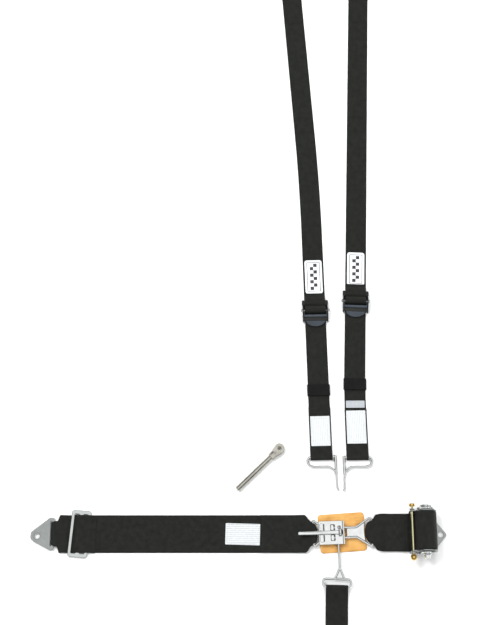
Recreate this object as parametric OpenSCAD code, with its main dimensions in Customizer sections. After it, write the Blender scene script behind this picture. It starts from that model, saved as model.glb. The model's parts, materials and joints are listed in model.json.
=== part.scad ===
// Five-point latch-and-link racing harness, laid out flat on its back.
// The lap belts run along X, the shoulder straps run towards +Y and the crotch strap towards -Y.
// The origin is the middle of the layout on the surface that it lies on, and +Z is up.

/* [Webbing] */
// Thickness of one layer of webbing
web_t = 1.8; // [1.4:0.1:2.0]
// Width of the lap belt webbing
lap_w = 76.2; // [74:0.1:78]
// Width of the shoulder and crotch webbing
strap_w = 44.45; // [43:0.05:46]

/* [Layout] */
// Distance from the origin to the shoulder anchors' tips, and to the crotch anchor's tip
reach = 815; // [795:1:820]
// Distance from the origin to the lap anchors' tips
half_span = 421; // [419:1:424]
// Row of the left lap belt
lap_y = -536; // [-538:0.5:-534]
// Row of the right lap belt
right_y = -533.5; // [-535:0.5:-532]
// Middle of the latch, from left to right
latch_x = 187; // [185:0.5:189]
// Middle of the latch, along the shoulder straps
latch_y = -535; // [-537:0.5:-533]
// Turn of the latch in the plane of the belts
latch_turn = 2; // [0:0.5:3]

/* [Latch] */
// Length of the latch along the lap belts
latch_len = 52; // [50:0.5:54]
// Width of the latch
latch_w = 47; // [46:0.5:48]
// Reach of the release lever from its pivot pin
lever_len = 85; // [70:1:90]
// Largest wire radius of the bail, the link and the hooks
wire_r = 2.5; // [2.3:0.1:2.5]
// Length of the leather pad
pad_len = 94; // [90:1:98]
// Width of the leather pad
pad_w = 78; // [74:1:82]
// Thickness of the leather pad
pad_t = 3; // [3:0.5:4]

/* [Anchors] */
// Radius of the bolt holes in the anchor plates
bolt_r = 5.75; // [5:0.05:6.2]
// Thickness of the anchor plates
plate_t = 3; // [2.5:0.1:3.2]
// Radius of the rounded nose of an anchor plate
nose_r = 13; // [12:0.5:14]

/* [Ratchet] */
// Position of the spool axis from left to right
spool_x = 376; // [374:0.5:376]
// Outer radius of the webbing that is wound on the spool
roll_r = 22.3; // [20:0.1:22.3]
// Number of teeth on each ratchet wheel
teeth = 12; // [12:4:16]
// Width of the drive hexagon across its flats
drive_flats = 12; // [11:0.5:13]

/* [Shoulder straps] */
// Length of the shoulder adjuster along its strap
adjuster_len = 44; // [42:1:46]
// Length of the sewn patch
patch_len = 76; // [70:1:78]
// Width of the sewn patch
patch_w = 39; // [36:0.5:42]

/* [Ratchet handle] */
// Length of the loose ratchet handle
handle_len = 132; // [120:1:140]
// Width of the handle's shank
shank_w = 10.6; // [9:0.1:11]

/* [Hidden] */
$fn = 64;
gap = 0.3;
// Extra radius of a wire where it bends
bend_swell = 0.15;
// Underside of the webbing that has hardware below it
web_z = 2.3;
fold_r = wire_r + gap + web_t;
// Height of the bail, link and hook wires inside the latch
wire_z = 8.4;
base_z = pad_t + gap;
base_top = wire_z - wire_r - gap;
cover_z = wire_z + wire_r + gap;
cover_t = 2;
lip_w = 5;
lip_h = 2.4;
window_x = 2.2;
window_size = [9, 13];
window_y = 10;
mouth_x = 12.5;
mouth_w = 9;
wall_t = 1;
pin_x = 17;
pin_r = 1.75;
pin_z = 17.2;
lever_w = 7.5;
lever_t = 3;
ear_in = lever_w / 2 + gap;
ear_t = 2;
ear_r = 3.6;
bail_x = -37;
bail_half = 28;
link_bar_x = 82;
link_half = 31;
link_neck = 10;
link_flare_x = 50;
// Anchor plate, measured from the bar in the webbing's fold
anchor_bar_w = 5;
anchor_bore_r = 3.2;
anchor_fold_r = anchor_bore_r + web_t;
anchor_len = 32;
// Frame of a slide: five equal bands, of which three are bars
slide_band = 8;
slide_len = 5 * slide_band;
slide_t = 3;
slide_z = web_t + gap;
slide_skew = 4.5;
// Shoulder straps: [left, right]
strap_x = [170, 244.4];
strap_y = -379;
strap_turn = [1.35, 0.9];
strap_bend = [2.7, -2.95];
bend_from = [490, 95];
bend_to = [730, 190];
mid_side = [1, -1];
hook_z = fold_r;
label_from = [24, 29];
label_len = [63, 70];
tail_s = [107, 104];
tail_w = strap_w + 1;
keeper_s = [143, 156];
keeper_len = 24;
adjuster_s = [316, 337];
patch_s = [395, 413];
cheek_in = strap_w / 2 + 4.2;
cheek_t = 2;
cheek_top = 17;
cam_z = 10.5;
cam_pin_r = 2;
bar_r = 4;
// Crotch strap
crotch_turn = -1.5;
crotch_ring_w = 60;
crotch_bar_y = -107;
crotch_neck_y = -66;
// Ratchet, measured from the spool axis
axis_z = web_z + web_t + 0.4 + roll_r;
side_in = 38.9;
side_t = 2.5;
wheel_r = 17.4;
wheel_t = 3.5;
wheel_y = 42.8;
tooth_h = 2.6;
arbor_r = 7;
rod_x = -27.5;
rod_top = 52;
knob_y = -52.5;
cap_t = 5.5;
rod_r = 2.75;
rod_bore_r = 2.83;
knob_r = 6.5;
pawl_t = 2.6;
pawl_gap = 0.35;
label_t = 0.5;
handle_turn = 44;
handle_x = -4;
handle_y = -446;
head_len = 36;
head_r = 10.4;
head_h = shank_w;
head_bore_r = 3.8;
ear_plate_t = 2.8;
rivet_r = 1.8;
shank_r = shank_w / 2;

// Point and direction at distance s along a shoulder strap whose path has one arc
function arc_radius(side) = (bend_to[side] - bend_from[side]) / strap_bend[side] * 180 / PI;
function arc_turn(side, s) =
    strap_bend[side] * (min(max(s, bend_from[side]), bend_to[side]) - bend_from[side])
    / (bend_to[side] - bend_from[side]);
function strap_point(side, s) =
    let (turn = arc_turn(side, s), radius = arc_radius(side))
    [-radius * (1 - cos(turn)) - max(s - bend_to[side], 0) * sin(turn),
        min(s, bend_from[side]) + radius * sin(turn) + max(s - bend_to[side], 0) * cos(turn)];
function strap_edge(side, s, half) =
    let (turn = arc_turn(side, s)) strap_point(side, s) + half * [cos(turn), sin(turn)];
// Length of a shoulder strap from its hook's bar to its anchor's bar
function strap_len(side) =
    (reach - anchor_len - nose_r - strap_y) / cos(strap_turn[side] + strap_bend[side]) + slack(side);
function slack(side) = side == 0 ? 14 : 12;

// Places children in the latch's own frame, with X along the lap belts
module latch_frame() {
    translate([latch_x, latch_y, 0]) rotate([0, 0, latch_turn]) children();
}

// Places children at distance s along a shoulder strap, with Y along the strap
module on_strap(side, s) {
    point = strap_point(side, s);
    translate([strap_x[side], strap_y, 0]) rotate([0, 0, strap_turn[side]])
        translate([point.x, point.y, 0]) rotate([0, 0, arc_turn(side, s)]) children();
}

// Places children at the crotch strap's D-ring bar, with Y pointing up the strap
module crotch_frame() {
    translate([latch_x + mouth_x - 4, latch_y + crotch_bar_y, 0])
        rotate([0, 0, crotch_turn]) children();
}

module ratchet_frame_at() {
    translate([spool_x, right_y, axis_z]) children();
}

// Extrudes an outline drawn in X and Z across the width of a strap
module across(width) {
    rotate([90, 0, 0]) linear_extrude(height = width, center = true) children();
}

// Straight round wire between two points
module wire(from, to, radius) {
    step = to - from;
    length = norm(step);
    translate(from) rotate([0, acos(step.z / length), atan2(step.y, step.x)])
        cylinder(h = length, r = radius);
}

// Round wire through a list of points at one height, with a slightly swollen bend at each corner
module bent_wire(points, height, radius) {
    for (i = [0 : len(points) - 2]) {
        wire([points[i].x, points[i].y, height], [points[i + 1].x, points[i + 1].y, height], radius);
        translate([points[i + 1].x, points[i + 1].y, height])
            rotate([90, 0, 0]) sphere(r = radius + bend_swell);
    }
}

module rounded_square(size, radius) {
    for (x = [-1, 1], y = [-1, 1])
        translate([x * (size.x / 2 - radius), y * (size.y / 2 - radius)]) circle(r = radius);
    square([size.x - 2 * radius, size.y], center = true);
    square([size.x, size.y - 2 * radius], center = true);
}

module rounded_plate(size, radius, bottom, top) {
    translate([0, 0, bottom]) linear_extrude(height = top - bottom) rounded_square(size, radius);
}

// Folded and sewn end of a strap that comes from -X, around a bar along Y at the origin
module fold_end(width, bar_z, bore_r, taper, reach_out, belt_z, layers) {
    outer = bore_r + web_t;
    across(width) difference() {
        union() {
            translate([0, bar_z]) circle(r = outer);
            translate([reach_out, bar_z]) circle(r = outer);
            translate([0, bar_z - outer]) square([reach_out, 2 * outer]);
            polygon([[-taper, belt_z + 0.3], [0, bar_z - outer], [0, bar_z + outer],
                [-taper, belt_z + layers * web_t - 0.3]]);
        }
        translate([0, bar_z]) circle(r = bore_r);
    }
}

// Anchor plate that points to +X, with its bar along Y at the origin and its nose nose_y off centre
module anchor_plate(loop_w, bar_z, nose_y = 0) {
    arm_y = loop_w / 2 + 4.2;
    slot_end = anchor_fold_r + 3.4;
    difference() {
        translate([0, 0, bar_z - plate_t / 2]) linear_extrude(height = plate_t) hull() {
            translate([anchor_len, nose_y]) circle(r = nose_r);
            for (y = [-1, 1]) translate([0.5, y * (arm_y + 0.5)]) circle(r = 3, $fn = 32);
        }
        translate([anchor_bar_w / 2, -loop_w / 2 - 0.8, bar_z - plate_t])
            cube([slot_end - anchor_bar_w / 2, loop_w + 1.6, 2 * plate_t]);
        translate([-nose_r, -loop_w / 2 - 0.8, bar_z - plate_t])
            cube([nose_r - anchor_bar_w / 2, loop_w + 1.6, 2 * plate_t]);
        translate([anchor_len, nose_y, bar_z - plate_t]) cylinder(h = 2 * plate_t, r = bolt_r);
    }
}

// Three-bar slide, centred, for webbing that runs along X
module slide_frame(width, bottom) {
    slot_w = width + 3;
    difference() {
        rounded_plate([slide_len, slot_w + 16], 5, bottom, bottom + slide_t);
        for (x = [-1, 1])
            rounded_plate_at(x * slide_band, [slide_band, slot_w], 2, bottom - 1, bottom + slide_t + 1);
    }
}

module rounded_plate_at(x, size, radius, bottom, top) {
    translate([x, 0, 0]) rounded_plate(size, radius, bottom, top);
}

// ---- Left lap belt ----

lap_anchor_x = -half_span + nose_r + anchor_len;
lap_loop_w = 49;
lap_nose_y = 4.5;
lap_full_x = lap_anchor_x + 10;
lap_taper = 30;
slide_x = lap_anchor_x + 53.5;
overlap_x = 42.5;
chamfer_x = 136;
bail_slack = 5.2;
link_slack = 8;

module left_lap_webbing() {
    color("#1d1e20") {
        translate([lap_anchor_x, lap_y, 0]) rotate([0, 0, 180])
            fold_end(lap_loop_w, anchor_fold_r, anchor_bore_r, lap_taper, 0.4, 0, 2);
        translate([lap_full_x, lap_y - lap_w / 2, 0]) cube([100, lap_w, web_t]);
        intersection() {
            translate([0, lap_y, 0]) lap_outline();
            union() {
                translate([lap_full_x, lap_y - lap_w / 2, 0])
                    cube([chamfer_x - 18 - lap_full_x, lap_w, web_t]);
                translate([overlap_x, lap_y - lap_w / 2, 0])
                    cube([chamfer_x - 18 - overlap_x, lap_w, 2 * web_t]);
                latch_frame() translate([bail_x, 0, 0])
                    fold_end(lap_w + 4, wire_z, wire_r + gap, 34, bail_slack, 0, 2);
            }
        }
    }
}

// Plan view of the left belt, with its corners cut off beside the latch
module lap_outline() {
    linear_extrude(height = wire_z + 2 * fold_r) polygon([[lap_full_x, -lap_w / 2],
        [chamfer_x, -lap_w / 2], [latch_x + bail_x - 1, -23], [latch_x + bail_x + 3, -19.5],
        [latch_x + bail_x + 11, -14.5], [latch_x + bail_x + 11, 14.5],
        [latch_x + bail_x + 3, 19.5], [latch_x + bail_x - 1, 23], [chamfer_x, lap_w / 2],
        [lap_full_x, lap_w / 2]]);
}

module left_lap_label() {
    color("#eceded") translate([7.5, lap_y - 0.5, 0])
        rounded_plate([70, 43], 2, web_t, web_t + label_t);
}

module left_lap_anchor() {
    color("#b9bbbd") translate([lap_anchor_x, lap_y, 0]) rotate([0, 0, 180])
        anchor_plate(lap_loop_w, anchor_fold_r, lap_nose_y);
}

module left_lap_slide() {
    color("#dfe1e3") translate([slide_x, lap_y, 0]) rotate([0, 0, slide_skew])
        slide_frame(lap_w, slide_z);
}

// ---- Latch ----

module latch_base() {
    color("#c9ccce") latch_frame() difference() {
        rounded_plate([latch_len, latch_w], 2, base_z, base_top);
        translate([-latch_len / 4, 0, 0]) cylinder(h = base_top + 1, r = 3);
    }
}

module latch_cover() {
    inner_y = latch_w / 2 - wall_t;
    color("#dfe1e3") latch_frame() difference() {
        union() {
            rounded_plate([latch_len, latch_w], 2, cover_z, cover_z + cover_t);
            for (y = [-1, 1]) translate([0, y * (latch_w / 2 - wall_t / 2), 0])
                rounded_plate([latch_len - 4, wall_t], 0.4, base_top, cover_z + cover_t / 2);
            translate([latch_len / 2 - lip_w / 2, 0, 0])
                rounded_plate([lip_w, latch_w], 2, cover_z, cover_z + cover_t + lip_h);
            for (y = [-1, 1]) translate([-latch_len / 2 + 5.6, y * 11.2, 0])
                rounded_plate([8, 15], 2, cover_z, cover_z + cover_t + 1.2);
            for (y = [-1, 1]) translate([pin_x, y * (ear_in + ear_t / 2), 0]) {
                translate([-ear_r, -ear_t / 2, cover_z]) cube([2 * ear_r, ear_t, pin_z - cover_z]);
                translate([0, 0, pin_z]) rotate([90, 0, 0])
                    cylinder(h = ear_t, r = ear_r, center = true);
            }
        }
        for (y = [-1, 1]) translate([window_x, y * window_y, 0])
            rounded_plate(window_size, 2, cover_z - 1, cover_z + cover_t + 1);
        translate([pin_x - 5.5, -ear_in, cover_z - 1]) cube([11, 2 * ear_in, cover_t + 2]);
        translate([mouth_x - mouth_w / 2, -latch_w, base_top - 1])
            cube([mouth_w, 2 * latch_w, cover_z - base_top + 1]);
        translate([pin_x, 0, pin_z]) rotate([90, 0, 0]) cylinder(h = 40, r = pin_r, center = true);
        translate([pin_x - 1.5, window_y + 0.3, cover_z - 1]) cylinder(h = cover_t + 2, r = 2.6);
    }
}

module latch_bail() {
    leg_y = 19;
    color("#c9ccce") latch_frame()
        bent_wire([[-17, leg_y], [-27.5, leg_y], [bail_x, bail_half], [bail_x, -bail_half],
            [-27.5, -leg_y], [-17, -leg_y]], wire_z, wire_r);
}

module latch_lever() {
    bar_z = cover_z + cover_t + 1.4;
    color("#dfe1e3") latch_frame() difference() {
        union() {
            translate([pin_x, 0, pin_z]) rotate([90, 0, 0])
                cylinder(h = lever_w, r = ear_r, center = true);
            translate([pin_x - lever_len + lever_w / 2, -lever_w / 2, bar_z])
                cube([lever_len - lever_w / 2, lever_w, lever_t]);
            translate([pin_x - lever_len + lever_w / 2, 0, bar_z])
                cylinder(h = lever_t, r = lever_w / 2);
            translate([pin_x - 1.6, -lever_w / 2, pin_z - 5]) cube([3.2, lever_w, 5]);
        }
        translate([pin_x, 0, pin_z]) rotate([90, 0, 0])
            cylinder(h = 2 * lever_w, r = pin_r + 0.06, center = true);
    }
}

module latch_pin() {
    pin_len = 2 * (ear_in + ear_t);
    color("#8d8f91") latch_frame() translate([pin_x, 0, pin_z]) rotate([90, 0, 0]) {
        cylinder(h = pin_len, r = pin_r, center = true);
        for (side = [-1, 1]) translate([0, 0, side * (pin_len / 2 + 0.5)])
            cylinder(h = 1, r = 2.8, center = true);
    }
}

// Leaf spring under the cover that holds the lever closed
module latch_spring() {
    color("#8d8f91") latch_frame() translate([-latch_len / 2 + 9, -4, cover_z - 0.9])
        cube([9, 8, 0.9]);
}

module latch_eyelet() {
    color("#c9ccce") latch_frame() translate([pin_x - 1.5, window_y + 0.3, 0]) difference() {
        union() {
            translate([0, 0, cover_z]) cylinder(h = cover_t + 1, r = 2.6);
            translate([0, 0, cover_z + cover_t]) cylinder(h = 1, r = 3.8);
        }
        cylinder(h = 30, r = 1.6);
    }
}

module latch_pad() {
    color("#d9a04d") translate([209, -533.5, 0]) rotate([0, 0, 4])
        rounded_plate([pad_len, pad_w], 10, 0, pad_t);
}

// ---- Right lap belt and ratchet ----

module right_link() {
    color("#dfe1e3") latch_frame() {
        bent_wire([[-4, -link_neck], [link_flare_x, -link_neck], [link_bar_x, -link_half],
            [link_bar_x, link_half], [link_flare_x, link_neck], [-4, link_neck],
            [-4, -link_neck]], wire_z, wire_r);
        translate([0, 0, wire_z - 1]) linear_extrude(height = 2)
            polygon([[30, -5], [30, 5], [link_flare_x, link_neck], [70, 22], [62, 10], [62, -10],
                [70, -22], [link_flare_x, -link_neck]]);
    }
}

module right_lap_webbing() {
    color("#1d1e20") {
        latch_frame() intersection() {
            translate([link_bar_x, 0, 0]) rotate([0, 0, 180])
                fold_end(2 * link_half - 8, wire_z, wire_r + gap, 30, link_slack, web_z, 2);
            linear_extrude(height = wire_z + 2 * fold_r) polygon([[link_bar_x - 15, -14],
                [link_bar_x - 8, -20.5], [link_bar_x - 2, -24.6], [link_bar_x + 2, -27],
                [link_bar_x + 40, -27], [link_bar_x + 40, 27], [link_bar_x + 2, 27],
                [link_bar_x - 2, 24.6], [link_bar_x - 8, 20.5], [link_bar_x - 15, 14]]);
        }
        translate([latch_x + link_bar_x + 10, right_y - lap_w / 2, web_z])
            cube([spool_x - 20 - latch_x - link_bar_x - 10, lap_w, web_t]);
    }
}

module ratchet_frame() {
    tab_x = half_span - nose_r;
    color("#b9bbbd") difference() {
        union() {
            for (y = [-1, 1]) translate([0, right_y + y * (side_in + side_t / 2), 0])
                across(side_t) {
                    translate([spool_x, axis_z]) circle(r = 21);
                    translate([spool_x - 32, 0]) square([53, axis_z]);
                    translate([spool_x + rod_x, axis_z]) circle(r = 5.5);
                }
            translate([spool_x - 10, right_y - side_in - 0.01, 0])
                cube([31, 2 * side_in + 0.02, 2]);
            translate([tab_x, right_y - 4, 0]) cylinder(h = plate_t, r = nose_r);
            translate([spool_x + 21, right_y - 4 - 22, 0]) linear_extrude(height = plate_t)
                polygon([[-3, -6], [6, 0], [tab_x - spool_x - 16, 10.2],
                    [tab_x - spool_x - 16, 33.8], [6, 44], [-3, 50]]);
        }
        translate([tab_x, right_y - 4, -1]) cylinder(h = 6, r = bolt_r);
        ratchet_frame_at() rotate([90, 0, 0]) cylinder(h = 120, r = arbor_r + 0.08, center = true);
        ratchet_frame_at() translate([rod_x, 0, 0]) rotate([90, 0, 0])
            cylinder(h = 120, r = rod_bore_r, center = true);
    }
}

module ratchet_spool() {
    color("#c9ccce") ratchet_frame_at() rotate([90, 0, 0])
        cylinder(h = 2 * wheel_y, r = arbor_r, center = true);
}

module webbing_roll() {
    color("#1d1e20") ratchet_frame_at() rotate([90, 0, 0]) difference() {
        cylinder(h = lap_w, r = roll_r, center = true);
        cylinder(h = lap_w + 2, r = arbor_r, center = true);
    }
}

// One toothed wheel outside each side plate
module ratchet_wheels() {
    tooth_step = 360 / teeth;
    color("#dfe1e3") ratchet_frame_at() for (side = [-1, 1])
        translate([0, side * (wheel_y + wheel_t / 2), 0]) across(wheel_t) {
            circle(r = wheel_r - tooth_h);
            for (i = [0 : teeth - 1]) rotate([0, 0, i * tooth_step + tooth_step / 2])
                polygon([[0, -4.4], [wheel_r - tooth_h, -4], [wheel_r, 1.6], [wheel_r, 3],
                    [wheel_r - tooth_h, 3.6], [0, 4]]);
        }
}

module drive_head() {
    color("#dfe1e3") ratchet_frame_at()
        translate([0, -wheel_y - wheel_t, 0]) rotate([90, 0, 0]) {
            cylinder(h = 1.5, r = 9);
            cylinder(h = 8.5, r = drive_flats / sqrt(3), $fn = 6);
        }
}

module release_rod() {
    color("#c9a24a") ratchet_frame_at() translate([rod_x, rod_top, 0]) rotate([90, 0, 0])
        cylinder(h = rod_top - knob_y - knob_r + 0.8, r = rod_r);
}

module release_knob() {
    color("#d6ab4c") ratchet_frame_at() translate([rod_x, knob_y, 0]) difference() {
        union() {
            sphere(r = knob_r);
            rotate([-90, 0, 0]) cylinder(h = knob_r - 0.1, r = 3.8);
        }
        rotate([-90, 0, 0]) translate([0, 0, knob_r - 1]) cylinder(h = 20, r = rod_r + 0.02);
    }
}

module release_cap() {
    color("#d6ab4c") ratchet_frame_at() translate([rod_x, rod_top + cap_t / 2, 0])
        rotate([90, 0, 0]) difference() {
            cylinder(h = cap_t, r = 6);
            translate([0, 0, cap_t / 2]) cylinder(h = 20, r = rod_r + 0.02);
        }
}

// Plate on the rod in its released place, with its nose just clear of the lower wheel's teeth
module ratchet_pawl() {
    nose_x = -wheel_r - pawl_gap;
    color("#b9bbbd") ratchet_frame_at()
        translate([0, -wheel_y - wheel_t / 2, 0]) difference() {
            union() {
                across(pawl_t) translate([rod_x, 0]) circle(r = 5);
                across(pawl_t) polygon([[rod_x + 3, 3.6], [nose_x, 1], [nose_x, -1],
                    [rod_x + 3, -3.6]]);
            }
            across(2 * pawl_t) translate([rod_x, 0]) circle(r = rod_r + 0.02);
        }
}

module rod_spring() {
    color("#8d8f91") ratchet_frame_at() for (i = [0 : 2])
        translate([rod_x, side_in + side_t + 0.9 + i * 1.25, 0])
            rotate([90, 0, 0]) rotate_extrude() translate([4.3, 0]) circle(r = 0.6);
}

// ---- Crotch strap ----

module crotch_hook() {
    ring_half = crotch_ring_w / 2 - wire_r;
    color("#dfe1e3") {
        latch_frame() bent_wire([[mouth_x, -15.5], [mouth_x, crotch_neck_y]], wire_z, wire_r);
        latch_frame() for (x = [-12, 8])
            bent_wire([[mouth_x, crotch_neck_y], [mouth_x + x, crotch_neck_y - 26]], wire_z, 2.2);
        crotch_frame() bent_wire([[-ring_half, 0], [-ring_half, 10], [-ring_half + 5, 15],
            [ring_half - 5, 15], [ring_half, 10], [ring_half, 0], [-ring_half, 0]],
            wire_z, wire_r);
    }
}

crotch_len = reach + latch_y + crotch_bar_y - anchor_len - nose_r;

module crotch_webbing() {
    color("#1d1e20") crotch_frame() {
        rotate([0, 0, 90]) fold_end(strap_w, wire_z, wire_r + gap, 30, 1, web_z, 2);
        translate([-strap_w / 2, -crotch_len + 25, web_z]) cube([strap_w, crotch_len - 50, web_t]);
        translate([0, -crotch_len, 0]) rotate([0, 0, -90])
            fold_end(strap_w - 4, anchor_fold_r, anchor_bore_r, 30, 0.4, web_z, 2);
    }
}

module crotch_anchor() {
    color("#b9bbbd") crotch_frame() translate([0, -crotch_len, 0]) rotate([0, 0, -90])
        anchor_plate(strap_w - 4, anchor_fold_r);
}

// ---- Shoulder straps ----

module shoulder_webbing(side) {
    length = strap_len(side);
    arc_steps = 12;
    step = (bend_to[side] - bend_from[side]) / arc_steps;
    path = concat([22], [for (i = [0 : arc_steps]) bend_from[side] + i * step], [length - 20]);
    color("#1d1e20") {
        translate([strap_x[side], strap_y, web_z]) rotate([0, 0, strap_turn[side]])
            linear_extrude(height = web_t) polygon(concat(
                [for (s = path) strap_edge(side, s, strap_w / 2)],
                [for (i = [len(path) - 1 : -1 : 0]) strap_edge(side, path[i], -strap_w / 2)]));
        on_strap(side, 0) rotate([0, 0, -90])
            fold_end(strap_w - 1, hook_z, wire_r + gap, 22, 3.4, web_z, 2);
        on_strap(side, 20) translate([-tail_w / 2, 0, web_z + web_t / 2])
            cube([tail_w, tail_s[side] - 20, 1.5 * web_t]);
        on_strap(side, length) rotate([0, 0, 90])
            fold_end(strap_w - 4, anchor_fold_r, anchor_bore_r, 30, 0.4, web_z, 2);
    }
}

// Wire hook: a D-shaped ring in the webbing's fold, and a long shank on its inner side
module shoulder_hook(side) {
    in = mid_side[side];
    shank_x = in * 28.5;
    color("#c9ccce") on_strap(side, 0) {
        bent_wire([[shank_x, 0], [-in * 25, 0], [-in * 30, -6], [-in * 26, -16], [-in * 18, -20],
            [in * 14, -20], [shank_x, -30]], hook_z, wire_r - 0.1);
        wire([shank_x, 3, hook_z], [shank_x, -36, hook_z], 3);
        bent_wire([[shank_x, -32], [shank_x + in, -64], [shank_x + in * 3.5, -70]], hook_z, 1.9);
    }
}

module shoulder_label(side) {
    color("#eceded") on_strap(side, label_from[side] + label_len[side] / 2)
        rounded_plate([40, label_len[side]], 1.5, web_z + 2 * web_t, web_z + 2 * web_t + label_t);
}

module size_label(side) {
    color("#c4c7ca") on_strap(side, 113)
        rounded_plate([39, 15], 1, web_z + web_t, web_z + web_t + label_t);
}

// Elastic loop that keeps the strap's tail flat
module keeper(side) {
    wall = 1.2;
    inner_w = strap_w + 2;
    color("#141516") on_strap(side, keeper_s[side]) rotate([0, 0, 90])
        rotate([90, 0, 90]) linear_extrude(height = keeper_len, center = true) difference() {
            translate([0, web_z + web_t / 2]) square([inner_w + 2 * wall, 6], center = true);
            translate([0, web_z + web_t / 2]) square([inner_w, 6 - 2 * wall], center = true);
        }
}

// Channel that the webbing runs through: a floor, two cheeks and a cover over the far end
module adjuster_frame(side) {
    half_len = adjuster_len / 2;
    color("#26272a") on_strap(side, adjuster_s[side]) difference() {
        union() {
            rounded_plate([2 * (cheek_in + cheek_t), adjuster_len - 8], 2, 0, web_z - gap);
            for (x = [-1, 1]) translate([x * (cheek_in + cheek_t / 2), 0, 0])
                rotate([90, 0, 90]) linear_extrude(height = cheek_t, center = true) {
                    translate([0, 0]) square([adjuster_len / 2 + 8, cheek_top - 8], center = false);
                    translate([-8, 0]) square([16, cam_z]);
                    translate([0, cam_z]) circle(r = 6.5);
                }
            translate([-cheek_in - cheek_t, 12, cheek_top - 9.5])
                cube([2 * (cheek_in + cheek_t), 18, 2]);
        }
        translate([0, 0, cam_z]) rotate([0, 90, 0])
            cylinder(h = 80, r = cam_pin_r, center = true);
    }
}

module adjuster_bar(side) {
    length = 2 * (cheek_in - gap);
    color("#2f3338") on_strap(side, adjuster_s[side]) translate([0, 0, cam_z])
        rotate([0, 90, 0]) difference() {
            cylinder(h = length, r = bar_r, center = true);
            cylinder(h = length + 2, r = cam_pin_r + 0.06, center = true);
        }
}

module adjuster_pin(side) {
    length = 2 * (cheek_in + cheek_t);
    color("#dfe1e3") on_strap(side, adjuster_s[side]) translate([0, 0, cam_z])
        rotate([0, 90, 0]) {
            cylinder(h = length, r = cam_pin_r, center = true);
            for (end = [-1, 1]) translate([0, 0, end * (length / 2 + 1)])
                cylinder(h = 2, r = 3, center = true);
        }
}

// Thumb tab that tilts the bar
module adjuster_tab(side) {
    arm_x = cheek_in - 2.2;
    color("#5b6470") on_strap(side, adjuster_s[side]) {
        for (x = [-1, 1]) translate([x * arm_x, 0, 0])
            rotate([90, 0, 90]) linear_extrude(height = 1.6, center = true) difference() {
                translate([-14, cam_z - 2]) square([14, 4]);
                translate([0, cam_z]) circle(r = bar_r + 0.02);
            }
        translate([-arm_x - 0.8, -19, cam_z - 2]) cube([2 * arm_x + 1.6, 6, 3]);
        translate([0, -19, cam_z - 2]) intersection() {
            cylinder(h = 2.4, r = 12);
            translate([-20, -10, 0]) cube([40, 10.5, 4]);
        }
    }
}

module patch(side) {
    color("#f2f2f2") on_strap(side, patch_s[side])
        rounded_plate([patch_w, patch_len], 6, web_z + web_t, web_z + web_t + 2 * label_t);
}

module shoulder_slide(side) {
    color("#26272a") on_strap(side, strap_len(side) - 62) rotate([0, 0, 90])
        slide_frame(strap_w, web_z + slide_z);
}

module shoulder_anchor(side) {
    color("#b9bbbd") on_strap(side, strap_len(side)) rotate([0, 0, 90])
        anchor_plate(strap_w - 4, anchor_fold_r);
}

module left_shoulder_webbing() { shoulder_webbing(0); }
module left_shoulder_hook() { shoulder_hook(0); }
module left_shoulder_label() { shoulder_label(0); }
module left_keeper() { keeper(0); }
module left_adjuster_frame() { adjuster_frame(0); }
module left_adjuster_bar() { adjuster_bar(0); }
module left_adjuster_pin() { adjuster_pin(0); }
module left_adjuster_tab() { adjuster_tab(0); }
module left_patch() { patch(0); }
module left_shoulder_slide() { shoulder_slide(0); }
module left_shoulder_anchor() { shoulder_anchor(0); }
module right_shoulder_webbing() { shoulder_webbing(1); }
module right_shoulder_hook() { shoulder_hook(1); }
module right_shoulder_label() { shoulder_label(1); }
module right_size_label() { size_label(1); }
module right_keeper() { keeper(1); }
module right_adjuster_frame() { adjuster_frame(1); }
module right_adjuster_bar() { adjuster_bar(1); }
module right_adjuster_pin() { adjuster_pin(1); }
module right_adjuster_tab() { adjuster_tab(1); }
module right_patch() { patch(1); }
module right_shoulder_slide() { shoulder_slide(1); }
module right_shoulder_anchor() { shoulder_anchor(1); }

// ---- Loose ratchet handle ----

module handle_frame() {
    translate([handle_x, handle_y, 0]) rotate([0, 0, handle_turn]) children();
}

// Round bar with a round end
module handle_shank() {
    color("#c9ccce") handle_frame() translate([shank_r, 0, shank_r]) union() {
        sphere(r = shank_r);
        rotate([0, 90, 0]) cylinder(h = handle_len - head_len - shank_r, r = shank_r);
    }
}

// Forked head whose two flat ears, with round ends, stand one above the other
module handle_head() {
    eye_x = handle_len - head_r;
    root_x = handle_len - head_len;
    color("#c9ccce") handle_frame() difference() {
        union() {
            for (z = [0, head_h - ear_plate_t]) translate([0, 0, z]) linear_extrude(height = ear_plate_t) {
                translate([eye_x, 0]) circle(r = head_r);
                polygon([[root_x, -shank_r - 1], [root_x, shank_r + 1], [eye_x, head_r], [eye_x, -head_r]]);
            }
            translate([root_x, -shank_r - 1, 0.5]) cube([9, 2 * shank_r + 2, head_h - 1]);
        }
        translate([eye_x, 0, -1]) cylinder(h = head_h + 2, r = head_bore_r);
        translate([root_x + 13, 0, -1]) cylinder(h = head_h + 2, r = rivet_r + 0.02);
    }
}

// Cross pin between the ears that holds the head's dog
module handle_rivets() {
    color("#dfe1e3") handle_frame() translate([handle_len - head_len + 13, 0, 0]) {
        cylinder(h = head_h, r = rivet_r);
        translate([0, 0, head_h]) cylinder(h = 1.2, r = rivet_r + 1.4);
    }
}

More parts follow.
